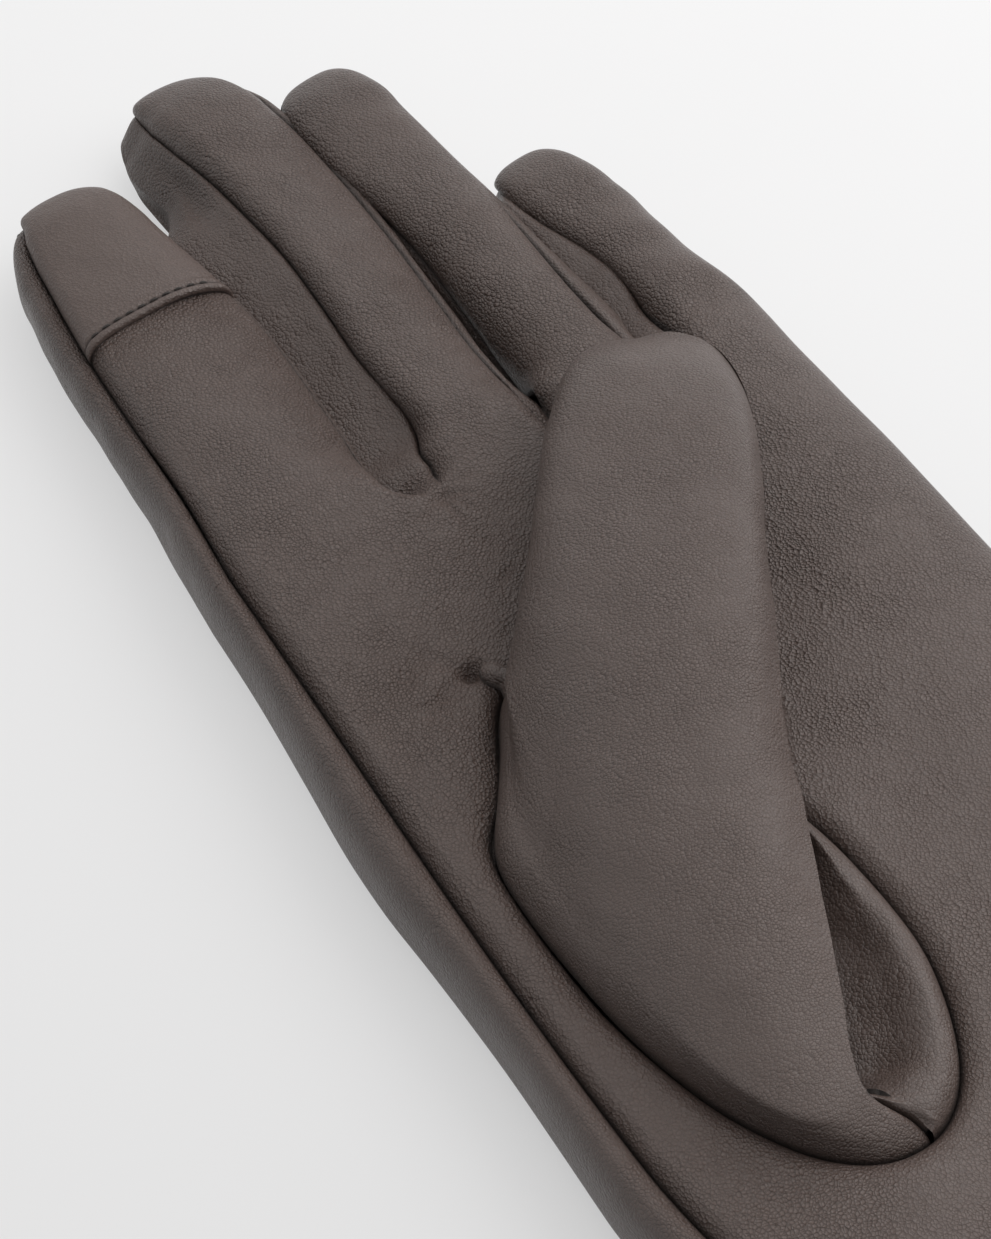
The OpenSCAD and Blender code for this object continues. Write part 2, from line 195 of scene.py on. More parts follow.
# ---- sewn edges ----
def edge_depth(d, r, deep):
    """How far a sewn edge has rolled down at a distance d from its seam"""
    q = np.clip(1 - d / np.maximum(r, 1e-6), 0, 1)
    return deep * (1 - np.sqrt(np.maximum(0, 1 - q * q)))


def edge_steps(length, r0, r1, n_edge, n_mid):
    """Distances along a strip: close together in the rolls at both ends"""
    q = 1 - cosd(np.linspace(0, 90, n_edge))
    r0, r1 = min(r0, length / 2), min(r1, length / 2)
    return np.concatenate([r0 * q[:-1], np.linspace(r0, length - r1, n_mid),
                           length - r1 * q[:-1][::-1]])


SEAM_LEFT = (3.0, 3.6)     # radius and depth of the palm's edge at the index-side seam
SEAM_ROLL = (3.0, 2.3)     # the same for the roll's edge
HOLE_EDGE = (3.2, 2.6)     # the palm's edge round the thumb
RIM_Z = PALM_H - HOLE_EDGE[1]    # height of the seam round the thumb


# ---- meshes ----
materials = {}


def grid_object(name, p, material, closed=False, flip=False, painted_shade=None, keep=None):
    """One object from a grid of points in mm, with its rest position kept for the grain"""
    rows, cols = p.shape[:2]
    ids = np.arange(rows * cols).reshape(rows, cols)
    nxt = np.roll(ids, -1, axis=1) if closed else ids[:, 1:]
    a = ids if closed else ids[:, :-1]
    quads = np.stack([a[:-1], a[1:], nxt[1:], nxt[:-1]], -1)
    if flip:
        quads = quads[..., ::-1]
    quads = quads.reshape(-1, 4)
    if keep is not None:
        flat_keep = keep.reshape(-1)
        quads = quads[flat_keep[quads].all(1)]
    return mesh_object(name, p.reshape(-1, 3), quads, material,
                       None if painted_shade is None else painted_shade.reshape(-1))


def mesh_object(name, points, quads, material, painted_shade=None):
    mesh = bpy.data.meshes.new(name)
    mesh.vertices.add(len(points))
    mesh.vertices.foreach_set("co", (points * MM).astype(np.float32).ravel())
    mesh.loops.add(quads.size)
    mesh.loops.foreach_set("vertex_index", quads.astype(np.int32).ravel())
    mesh.polygons.add(len(quads))
    n = quads.shape[1]
    mesh.polygons.foreach_set("loop_start", np.arange(0, quads.size, n, dtype=np.int32))
    mesh.polygons.foreach_set("use_smooth", np.ones(len(quads), dtype=bool))
    mesh.update(calc_edges=True)
    rest = mesh.attributes.new("rest", "FLOAT_VECTOR", "POINT")
    rest.data.foreach_set("vector", points.astype(np.float32).ravel())
    # painted shade: 0 to 1 where shade is painted into the leather along seams, in hollows and under lips
    dark = mesh.attributes.new("painted_shade", "FLOAT", "POINT")
    values = np.zeros(len(points)) if painted_shade is None else np.clip(painted_shade, 0, 1)
    dark.data.foreach_set("value", values.astype(np.float32).ravel())
    mesh.materials.append(materials[material])
    obj = bpy.data.objects.new(name, mesh)
    bpy.context.scene.collection.objects.link(obj)
    return obj


def grid_normals(p, closed=False):
    du = np.gradient(p, axis=0)
    dv = np.roll(p, -1, 1) - np.roll(p, 1, 1) if closed else np.gradient(p, axis=1)
    return unit(np.cross(du, dv))


def place(obj, body, *nodes, slot=None):
    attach(obj, body)
    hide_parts(*nodes)
    return obj


# ---- materials ----
class Nodes:
    def __init__(self, name):
        self.mat = bpy.data.materials.new(name)
        self.mat.use_nodes = True
        self.tree = self.mat.node_tree
        self.shader = self.tree.nodes["Principled BSDF"]

    def add(self, kind, inputs=(), **props):
        node = self.tree.nodes.new(kind)
        for k, v in props.items():
            setattr(node, k, v)
        for k, v in dict(inputs).items():
            self.put(node.inputs[k], v)
        return node

    def put(self, socket, v):
        if isinstance(v, bpy.types.NodeSocket):
            self.tree.links.new(v, socket)
        else:
            socket.default_value = v

    def math(self, op, a, b=0.0):
        return self.add("ShaderNodeMath", {0: a, 1: b}, operation=op).outputs[0]

    def vector(self, op, a, b, out=0):
        return self.add("ShaderNodeVectorMath", {0: a, 1: b}, operation=op).outputs[out]

    def attribute(self, name, out="Fac"):
        return self.add("ShaderNodeAttribute", attribute_name=name).outputs[out]

    def span(self, v, lo, hi, to_lo=0.0, to_hi=1.0, kind="SMOOTHSTEP"):
        return self.add("ShaderNodeMapRange", {0: v, 1: lo, 2: hi, 3: to_lo, 4: to_hi},
                        interpolation_type=kind).outputs[0]

    def mix(self, t, a, b):
        return self.add("ShaderNodeMix", {0: t, 6: a, 7: b}, data_type="RGBA").outputs[2]

    def noise(self, vector, scale, detail=2.0, rough=0.5):
        return self.add("ShaderNodeTexNoise", {"Vector": vector, "Scale": scale,
                                               "Detail": detail, "Roughness": rough})


def leather(name, light, dark, cell=0.46, stretch=(1, 1, 1), rough=0.31, bump=1.0, crease=0.5):
    """Smooth nappa: fine pebble grain, soft sheen, painted shade in the grain's valleys and along the seams
    """
    n = Nodes(name)
    rest = n.attribute("rest", "Vector")
    painted_shade = n.attribute("painted_shade")
    warp = n.noise(rest, 0.35, 2).outputs["Color"]
    shift = n.vector("MULTIPLY", warp, (0.8, 0.8, 0.8))
    spot = n.vector("MULTIPLY", n.vector("ADD", rest, shift), stretch)
    edges, centre = [n.add("ShaderNodeTexVoronoi", {
        "Vector": spot, "Scale": 1 / cell, "Randomness": 1.0}, feature=kind).outputs["Distance"]
        for kind in ("DISTANCE_TO_EDGE", "F1")]
    dome = n.math("SUBTRACT", 1.0, n.math("MULTIPLY", centre, centre))
    pebble = n.math("ADD", n.math("MULTIPLY", n.span(edges, 0.0, 0.2), 0.3),
                    dome)
    small = n.noise(spot, 3.2 / cell, 2, 0.6).outputs["Fac"]
    patch = n.noise(rest, 0.09, 3, 0.55).outputs["Fac"]
    place_y = n.add("ShaderNodeSeparateXYZ", {0: rest}).outputs[1]
    strength = n.math("MULTIPLY", n.span(patch, 0.35, 0.65, 0.6, 1.15),
                      n.span(place_y, -30.0, 60.0, 0.55, 1.0))
    height = n.math("ADD", n.math("MULTIPLY", pebble, strength),
                    n.math("MULTIPLY", small, 0.35))
    soft = n.noise(rest, 0.22, 3, 0.5).outputs["Fac"]
    grain = n.add("ShaderNodeBump", {"Height": height, "Strength": bump,
                                     "Distance": 0.00028}).outputs[0]
    uneven = n.add("ShaderNodeBump", {"Height": soft, "Strength": crease, "Distance": 0.0006,
                                      "Normal": grain}).outputs[0]
    tone = n.span(patch, 0.25, 0.75, 0.0, 1.0, "LINEAR")
    base = n.mix(tone, (*dark, 1), (*light, 1))
    # the grain's valleys painted darker: painted shade in its creases
    grain_valley_shade = n.mix(n.span(edges, 0.0, 0.16, 0.35, 0.0), base, tuple(v * 0.4 for v in dark) + (1,))
    # painted shade: darker along the seams, in hollows and under lips
    seam = n.mix(n.span(painted_shade, 0.1, 1.0, 0.0, 0.85), grain_valley_shade,
                 tuple(v * 0.22 for v in dark) + (1,))
    n.put(n.shader.inputs["Base Color"], seam)
    polish = n.span(small, 0.3, 0.7, rough - 0.04, rough + 0.07, "LINEAR")
    n.put(n.shader.inputs["Roughness"], n.math("ADD", polish, n.math("MULTIPLY", painted_shade, 0.3)))
    n.put(n.shader.inputs["Normal"], uneven)
    n.shader.inputs["Specular IOR Level"].default_value = 0.6
    materials[name] = n.mat


def knit(name, light, dark):
    """Fine rib knit: columns of loops about a millimetre apart"""
    n = Nodes(name)
    rest = n.attribute("rest", "Vector")
    loops = n.vector("MULTIPLY", rest, (5.2, 4.2, 5.2))
    wob = n.noise(rest, 0.5, 2).outputs["Fac"]
    part = n.add("ShaderNodeSeparateXYZ", {0: loops})
    sx = n.math("SINE", n.math("ADD", part.outputs[0], n.math("MULTIPLY", wob, 2.0)))
    sy = n.math("SINE", n.math("ADD", part.outputs[1], n.math("MULTIPLY", sx, 1.2)))
    height = n.math("ADD", n.math("MULTIPLY", sx, 0.5), n.math("MULTIPLY", sy, 0.35))
    fuzz = n.noise(rest, 6.0, 3, 0.7).outputs["Fac"]
    total = n.math("ADD", height, fuzz)
    n.put(n.shader.inputs["Base Color"],
          n.mix(n.span(total, -0.4, 1.3), (*dark, 1), (*light, 1)))
    n.put(n.shader.inputs["Roughness"], n.span(fuzz, 0.2, 0.8, 0.82, 0.95))
    n.put(n.shader.inputs["Normal"], n.add("ShaderNodeBump", {
        "Height": total, "Strength": 0.8, "Distance": 0.00022}).outputs[0])
    n.shader.inputs["Sheen Weight"].default_value = 0.3
    n.shader.inputs["Sheen Roughness"].default_value = 0.5
    materials[name] = n.mat


def thread(name, light, dark):
    """Twisted sewing thread"""
    n = Nodes(name)
    rest = n.attribute("rest", "Vector")
    ply = n.add("ShaderNodeTexWave", {"Vector": rest, "Scale": 1.6, "Distortion": 1.0,
                                      "Detail": 2.0}, bands_direction="DIAGONAL").outputs["Fac"]
    fuzz = n.noise(rest, 9.0, 2, 0.7).outputs["Fac"]
    n.put(n.shader.inputs["Base Color"], n.mix(ply, (*dark, 1), (*light, 1)))
    n.put(n.shader.inputs["Roughness"], n.span(fuzz, 0.2, 0.8, 0.5, 0.75))
    n.put(n.shader.inputs["Normal"], n.add("ShaderNodeBump", {
        "Height": n.math("ADD", ply, fuzz), "Strength": 0.6, "Distance": 0.00006}).outputs[0])
    materials[name] = n.mat


LIGHT = (0.108, 0.076, 0.065)
DARK = (0.092, 0.063, 0.053)
leather("nappa", LIGHT, DARK)
leather("nappa_thumb", LIGHT, DARK, stretch=(1.0, 1.3, 1.15), bump=0.85)
# a copy of the nappa painted 8 to 10 % darker, for the fourchettes, the thumb's gusset and the thumb's back,
# which lie in shade: painted shade
leather("nappa_side_shaded", tuple(0.92 * v for v in LIGHT), tuple(0.9 * v for v in DARK), bump=0.7,
        crease=0.9)
leather("cap", tuple(0.97 * v for v in LIGHT), DARK, rough=0.45, bump=0.45)
leather("binding", tuple(0.85 * v for v in LIGHT), tuple(0.85 * v for v in DARK))
knit("knit", (0.06, 0.05, 0.045), (0.018, 0.014, 0.012))
thread("thread", (0.035, 0.026, 0.022), (0.012, 0.009, 0.008))

# ---- the palm ----
ROW_STEP, ACROSS_N = 0.5, 170    # step between rows along the hand, and points across it
STITCH_L, STITCH_PITCH, STITCH_IN = 2.6, 4.0, 4.0
row_y = np.linspace(PALM_L, -CUFF_L, round((PALM_L + CUFF_L) / ROW_STEP) + 1)
SIDE_S = 0.93    # the palm's own grid ends here, the side's grid takes over


def palm_edge_x(y):
    return lerp(seam_x(y), right_x(y), SIDE_S)


# Read from the photo's seam round the thumb through the fitted camera, then rounded: turn, shift
RIM_SHIFT = ((-90, 0.6), (-60, 1.4), (-30, 1.5), (-15, 0.4), (-5, -0.3), (5, -1.4), (15, -2.8),
             (30, -3.4), (55, -2.6), (75, -1.2), (90, 0), (104, -0.9),
             (116, -1.9), (126, -2.1), (136, -1.2), (143, 0.1), (149, 1.6), (154, 2.1), (162, 1.7),
             (178, 1.1), (210, 1.1), (240, 0.9), (270, 0.6))


def rim_shift(turn):
    """How far the thumb's seam lies outside the plain oval"""
    turn = np.mod(np.asarray(turn, float) + 90, 360) - 90
    near = [np.interp(np.mod(turn + d + 90, 360) - 90, *zip(*RIM_SHIFT)) for d in (-4, -2, 0, 2, 4)]
    return sum(near) / 5


def rim_point(turn, z):
    x, y = cosd(turn), sind(turn)
    out = unit(np.stack([x / HOLE_W, y / HOLE_L], -1))
    shift = rim_shift(turn)
    px = HOLE_X + HOLE_W / 2 * x + out[..., 0] * shift
    py = HOLE_Y + HOLE_L / 2 * y + out[..., 1] * shift
    return np.stack([px, py, z + 0 * px], -1)


def hole_distance(x, y):
    """Distance outside the seam that the thumb is set in with"""
    qx, qy = (x - HOLE_X) / (HOLE_W / 2), (y - HOLE_Y) / (HOLE_L / 2)
    g = np.sqrt(qx**2 + qy**2)
    slope = np.sqrt((qx / (HOLE_W / 2))**2 + (qy / (HOLE_L / 2))**2)
    return (g - 1) * g / np.maximum(slope, 1e-9) - rim_shift(np.degrees(np.arctan2(qy, qx)))


# Soft hollows and swellings of the palm, placed to match the photo: place, half widths, turn,
# height
RELIEF = (
    (15, 36, 8, 17, -30, -1.3), (31, 44, 9, 16, -30, 0.5), (2, 16, 6, 12, -30, -1.0),
    (24, 58, 6, 7, 0, -0.9), (-33, 38, 6, 5, 20, 0.9), (-38.5, 45, 3.0, 9, 0, -0.5),
    (-9, 62, 7, 5, 25, -0.8), (-24.6, 45.2, 1.3, 1.1, 30, -2.2), (-31, 49.5, 5, 1.6, 22, -0.5),
    (-29, 44.5, 4.5, 1.0, 20, -0.55), (-26.5, 47.5, 1.0, 3.5, 25, -0.45),
    (-13.2, 54.6, 0.7, 2.6, -60, -0.35), (-12.4, 69.4, 1.8, 1.5, 0, -0.8), (-15.2, 68.6, 2.0, 0.5, 40, -0.3),
    (-12.6, 66.8, 0.5, 2.2, 0, -0.35), (-10.2, 68.4, 2.0, 0.5, -35, -0.3),
    (-9.0, 70.4, 2.2, 0.6, -5, -0.3), (-11.0, 67.4, 0.5, 2.0, 30, -0.25),
    (8, -20, 9, 24, 0, -0.4), (-2, -52, 24, 12, 15, -0.5),
    (-22, -58, 14, 8, 30, 0.5), (-24.5, 58, 6, 9, 20, 0.5), (20, -8, 8, 20, -12, 0.5),
)


def relief(x, y):
    total = 0
    for cx, cy, rx, ry, turn, height in RELIEF:
        dx, dy = x - cx, y - cy
        u = (dx * cosd(turn) + dy * sind(turn)) / rx
        v = (-dx * sind(turn) + dy * cosd(turn)) / ry
        total = total + height * np.exp(-(u**2 + v**2))
    return total


# Where the fingers part: the left finger's edge, the line between the two side panels, the right
# finger's edge, where the valley ends in x, the depths at the three lines, the roll at each side
# and where the valley ends in y. The places were read from the photo through the fitted camera.
VALLEYS = {
    ("index", "middle"): (-16.6, -16.6, -9.9, -12.5, (4.4, 4.4, 3.0), (2.4, 4.4), (4.2, 3.0), 70.2),
    ("middle", "ring"): (5.8, 7.9, 7.9, 6.2, (2.6, 3.4, 3.4), (2.8, 2.6), (3.0, 3.4), 66),
    ("ring", "little"): (23.0, 24.8, 29.4, 27.0, (2.0, 2.8, 3.4), (2.2, 2.0), (3.6, 3.4), 62),
}


def ridge(d, wide):
    """A side panel's own shape: a roll beside the deep seam, then a soft curve"""
    wide = np.maximum(wide, 1e-3)
    return (1.3 * (1 - np.exp(-d / 0.5)) * np.exp(-(d / 3.0)**2)
            + 0.6 * np.sin(math.pi * np.clip(d / wide, 0, 1)))


def strip_height(s):
    return 0.45 * np.sin(math.pi * np.clip(s, 0, 1))


def valleys(x, y):
    depth, dark = 0 * x, 0 * x
    for a, m, b, tip, (da, dm, db), roll_a, roll_b, end in VALLEYS.values():
        s = np.clip((y - end) / (PALM_L - end), 0, 1) ** 0.55
        g = smooth((y - end) / max(3.0, 0.8 * (PALM_L - end)))
        xa, xm, xb = (lerp(tip, v, s) for v in (a, m, b))
        wide_a, wide_b = np.maximum(xm - xa, 1e-3), np.maximum(xb - xm, 1e-3)
        ta, tb = (x - xa) / wide_a, (x - xm) / wide_b
        inside = np.where(x < xm, lerp(da, dm, ta) - strip_height(ta),
                          lerp(dm, db, tb) - ridge(xb - x, wide_b))
        outer = np.where(x < xa, edge_depth(xa - x, *roll_a), edge_depth(x - xb, *roll_b))
        depth = depth + g * np.where((x < xa) | (x > xb), outer, inside)
        # painted shade along the outer lines where the fingers part
        for line in (xa, xb):
            dark = np.maximum(dark, g * (1 - np.abs(x - line) / 0.5))
    return depth, dark


def palm_form(x, y):
    """Height of the palm's leather, with its seams, folds and soft unevenness"""
    x, y = np.broadcast_arrays(x, y)
    z = palm_z(x, y)
    p = np.stack([x, y, 0 * x], -1)
    fade = smooth((PALM_L - y) / 8) * smooth((x - seam_x(y)) / 8)
    z = z + fade * (0.28 * waves(p, 34, 3) + 0.10 * waves(p, 13, 4) + relief(x, y))
    hole = hole_distance(x, y)
    seam = x - seam_x(y)
    depth = edge_depth(hole, *HOLE_EDGE) + edge_depth(seam, *SEAM_LEFT)
    hem = np.exp(-((y + CUFF_L - STITCH_IN) / 0.7) ** 2) * (0.28 + 0.08 * np.cos(
        2 * math.pi * x / STITCH_PITCH))
    parted, lines = valleys(x, y)
    # dark: painted shade along the thumb's seam, the index-side seam and where the fingers part
    dark = np.maximum(np.maximum(1 - hole / 0.7, 1 - seam / 0.7), lines)
    return z - depth - hem - parted, dark


def crease_x():
    """Places across the crease, close together where the fingers part"""
    near = [0, 0.1, 0.2, 0.35, 0.5, 0.7, 0.95, 1.3, 1.7, 2.2]
    lines = [v for row in VALLEYS.values() for v in row[:3]]
    x = np.concatenate([np.linspace(palm_edge_x(PALM_L), seam_x(PALM_L), ACROSS_N)[1:-1]]
                       + [[v + d, v - d] for v in lines for d in near])
    x = np.unique(np.round(x, 2))[::-1]
    return x[(x > seam_x(PALM_L)) & (x < palm_edge_x(PALM_L))]


def palm_grid():
    # the outer edge, walked from the crease's index end down the seam and round
    across = np.linspace(0, 1, ACROSS_N)[1:-1]
    edge = np.concatenate([
        np.stack([seam_x(row_y), row_y], -1),
        np.stack([lerp(seam_x(-CUFF_L), palm_edge_x(-CUFF_L), across),
                  np.full(len(across), -CUFF_L)], -1),
        np.stack([palm_edge_x(row_y), row_y], -1)[::-1],
        np.stack([crease_x(), np.full(len(crease_x()), PALM_L)], -1)])
    turn = np.arctan2((edge[:, 1] - HOLE_Y) / HOLE_L, (edge[:, 0] - HOLE_X) / HOLE_W)
    rim = rim_point(np.degrees(turn), 0)[:, :2]
    spokes = []
    for outer, inner in zip(edge, rim):
        length = np.linalg.norm(outer - inner)
        d = edge_steps(length, HOLE_EDGE[0], SEAM_LEFT[0], 14, 120)
        spokes.append(inner + (outer - inner) * (d / length)[:, None])
    p = np.stack(spokes, 1)
    z, dark = palm_form(p[..., 0], p[..., 1])
    return np.concatenate([p, z[..., None]], -1), dark


def side_grid():
    """Side, underside and roll in one strip, from the palm's edge round to the seam"""
    y = row_y[:, None]
    q = np.linspace(0, 1, 22)
    s = 1 - (1 - SIDE_S) * (1 - q) ** 3.3
    x0 = lerp(seam_x(y), right_x(y), s)
    z0 = palm_form(np.minimum(x0, right_x(y) - 1e-6), y)[0]
    b = np.linspace(0, 180, 110)[1:]
    x1, z1 = under_section(b, y)
    b = np.concatenate([np.linspace(0, 60, 20)[1:], lerp(60, 90, sind(np.linspace(0, 90, 22)))[1:]])
    x2, z2 = roll_section(b, y)
    gap = seam_x(y) - x2
    z2 = z2 - edge_depth(gap, *SEAM_ROLL)
    x = np.concatenate([x0, x1, x2 + 0 * y], 1)
    z = np.concatenate([z0, z1, z2], 1)
    # dark: painted shade on the roll where it dives into the index-side seam
    dark = np.zeros_like(x)
    dark[:, -len(b):] = 1 - gap / 0.7
    return np.stack([x, y + 0 * x, z], -1), dark


palm, palm_shade = palm_grid()
side, side_shade = side_grid()
top = grid_object("palm_leather", palm, "nappa", closed=True, flip=True, painted_shade=palm_shade)
place(top, "hand", "trank", slot="leather")
rest_of_hand = grid_object("side_leather", side, "nappa", flip=False, painted_shade=side_shade)
place(rest_of_hand, "hand", "trank", slot="leather")

# ---- the fingers ----
CREASE = PALM_L + 0.15
LOWER = 22
FINGERS = {}
x_at = -KNUCKLE / 2
for key, lean, length, taper in (("index", 4, 71.5, 0.68), ("middle", 0.6, 82, 0.96),
                                 ("ring", 0.8, 71.5, TAPER), ("little", -1.6, 41.5, TAPER)):
    w = WIDTHS[key]
    FINGERS[key] = {"key": key, "mid": x_at + w / 2, "lean": lean, "w": w, "l": length,
                    "taper": taper, "xl": x_at - GAP / 2, "xr": x_at + w + GAP / 2,
                    "blunt": {"index": 0.8, "middle": 0.5, "ring": 2.2, "little": 2.0}[key]}
    x_at += w + GAP
FINGERS["index"]["xl"] = float(seam_x(PALM_L))
FINGERS["little"]["xr"] = float(right_x(PALM_L))
for (one, two), row in VALLEYS.items():
    FINGERS[one].update(fr=row[0], wr=row[1], dr=(row[4][0], row[4][1]))
    FINGERS[two].update(fl=row[2], wl=row[1], dl=row[4][2])
FINGERS["index"]["fl"] = float(seam_x(PALM_L))
FINGERS["little"]["fr"] = float(right_x(PALM_L))
# How much wider a finger is worn on its right and on its left, along its run. These widths and
# the seams below were read from the photo through the fitted camera, then rounded.
WIDER = {
    "index": (table([(0, -2.4), (7, -1.6), (13, -0.6), (20, 0.3), (30, 1.4), (40, 1.6), (50, 0.9),
                     (60, 0.2), (71.5, 0)]),
              table([(0, 0), (15, 0.2), (28, 0.9), (38, 1.1), (50, 0.6), (62, 0), (71.5, 0)])),
    "middle": (table([(0, 0), (9, 0), (18, 0.5), (25, 1.3), (36, 2.5), (45, 3.1), (55, 3.5),
                      (62, 3.4), (70, 2.5), (82, 1.0)]),
               table([(0, 0), (3, -2.0), (8, -2.0), (14, -1.0), (22, 0)])),
    "ring": (table([(0, 0)]), table([(0, 0), (40, 0), (60, 1.0), (71, 1.2)])),
    "little": (table([(0, -0.3), (5, -0.7), (10, -0.9), (18, -0.5), (28, 0), (41.5, 0)]),
               table([(0, 0), (20, 0), (36, 1.1), (41, 1.2)])),
}
# Turns of the front panel's seams along each finger
SEAMS = {
    "index": (table([(0, 133), (10, 136), (25, 137), (45, 137), (58, 135), (65, 136), (69.5, 146),
                     (71.5, 170)]),
              table([(0, 22), (25, 20), (50, 20), (60, 21), (67, 16), (71.5, -5)])),
    "middle": (table([(0, 139), (4, 138), (9, 134), (14, 130), (22, 121), (29, 114), (35, 109),
                      (44, 105), (52, 106), (60, 108), (67, 114), (74, 123), (78, 134),
                      (80.5, 155), (82, 190)]),
               table([(0, 38), (6, 38), (25, 34), (45, 33), (62, 32), (72, 26), (78, 14),
                      (82, -10)])),
    "ring": (table([(0, 184), (16, 180), (30, 172), (45, 162), (55, 158), (62, 157), (67, 168),
                    (71.5, 190)]),
             table([(0, 68), (6, 65), (17, 58), (27, 46), (33, 36), (45, 26), (60, 20),
                    (71.5, -10)])),
    "little": (table([(0, 150), (9, 144), (18, 144), (30, 144), (34, 153), (38, 168),
                      (41.5, 195)]), None),
}
OPEN_RUN = 8.0    # over this length the fingers part from the hand's own section


def finger_free(f, run, a):
    """Surface of a free finger, the same as in the part's source"""
    len0 = f["l"] - TIP_L
    sb = np.clip((run - len0) / TIP_L, 0, 1)
    k = np.sqrt(np.maximum(0, 1 - sb**2)) ** 0.8
    small = lerp(1, f["taper"], np.minimum(1, run / len0))
    tall = lerp(1, TAPER, np.minimum(1, run / len0))
    x = f["mid"] + f["lean"] * run / f["l"] + f["w"] / 2 * small * k * spow(cosd(a), 0.8)
    x = x - f["blunt"] * smooth((run - 0.55 * len0) / (0.45 * len0)) * k**0.5 * smooth(-cosd(a))
    right, left = WIDER[f["key"]]
    x = x + right(run) * k**0.5 * smooth(cosd(a)) - left(run) * k**0.5 * smooth(-cosd(a))
    s = sind(a)
    z = SIDE_H + np.where(s > 0, (FINGER_H * tall - SIDE_H) * k * np.abs(s) ** 0.85,
                          -SIDE_H * k * np.minimum(1, PRESS * np.abs(s) ** 0.6))
    return x, z


def finger_cell(f, run, a):
    """The same turns on the part of the hand's section that the finger takes over"""
    y = PALM_L
    al = SEAMS[f["key"]][0](run)
    a = np.where(a > 338, a - 360, a) if f["key"] != "little" else a
    past_left = a > al + 1e-6
    c = spow(cosd(a), 0.8)
    cl = spow(cosd(al), 0.8)
    key, xl, xr = f["key"], f["fl"], f["fr"]
    ar = 0.0 if key == "little" else SEAMS[key][1](run)
    cr = spow(cosd(ar), 0.8)
    x = lerp(xr, xl, np.clip((cr - c) / (cr - cl), 0, 1))
    z = palm_z(x, y)
    # left wall, then the underside
    if key == "index":
        b = np.clip(90 * (190 - a) / (190 - al), 0, 90)
        rx, rz = roll_section(b, y)
        x, z = np.where(past_left, rx, x), np.where(past_left, rz, z)
        v = np.clip((a - 190) / (338 - 190), 0, 1)
        b = 180 - 50 * np.clip(v / 0.3, 0, 1)
        ux, uz = under_section(b, y)
        ux = lerp(ux, f["wr"], smooth((v - 0.3) / 0.7))
        x, z = np.where(a > 190, ux, x), np.where(a > 190, uz, z)
        thin = (1 - f["taper"]) * np.minimum(1, run / (f["l"] - TIP_L))
        x = x + (f["lean"] * run / f["l"] + f["w"] / 2 * thin) * smooth((a - 70) / 50) * smooth(
            (338 - a) / 80) - WIDER[key][1](run) * smooth(-cosd(a))
    else:
        u = np.clip((a - al) / (180 + LOWER - al), 0, 1)
        wall = palm_z(f["wl"], y) - f["dl"]
        x, z = np.where(past_left, f["wl"], x), np.where(past_left, wall * (1 - u), z)
        if key != "little":
            ca, cb = spow(cosd(180 + LOWER), 0.8), spow(cosd(360 - LOWER), 0.8)
            ux = lerp(f["wl"], f["wr"], np.clip((c - ca) / (cb - ca), 0, 1))
            x, z = np.where(a > 180 + LOWER, ux, x), np.where(a > 180 + LOWER, 0, z)
    if key == "little":
        v = np.clip(-a / (180 - LOWER), 0, 1)
        ux, uz = under_section(50 * np.clip(v / 0.3, 0, 1), y)
        ux = lerp(ux, f["wl"], smooth((v - 0.3) / 0.7))
        x, z = np.where(a < 0, ux, x), np.where(a < 0, uz, z)
    else:
        u = np.clip((a + LOWER) / (ar + LOWER), 0, 1)
        t = np.clip((u - 0.7) / 0.3, 0, 1)
        sx = lerp(f["wr"], f["fr"], t)
        sz = palm_z(sx, y) - lerp(f["dr"][1], f["dr"][0], t) + strip_height(t)
        sz = sz * np.minimum(1, u / 0.7)
        x, z = np.where(a < ar - 1e-6, sx, x), np.where(a < ar - 1e-6, sz, z)
    return x, z


def finger_surface(f, run, a):
    s = smooth(run / OPEN_RUN)
    if f["key"] == "index":
        s = lerp(s, smooth(run / 30), smooth((a - 70) / 50))
    fx, fz = finger_free(f, run, a)
    cx, cz = finger_cell(f, run, a)
    y = PALM_L + run + (CREASE - PALM_L) * smooth(run / 5)
    return np.stack([lerp(cx, fx, s), y + 0 * fx, lerp(cz, fz, s)], -1)


def finger_runs(f, step=0.5, tip=34):
    len0 = f["l"] - TIP_L
    start = np.linspace(0, 6, 26)
    body = np.linspace(6, len0, round((len0 - 6) / step))[1:]
    return np.concatenate([start, body, len0 + TIP_L * sind(np.linspace(0, 90, tip))[1:]])


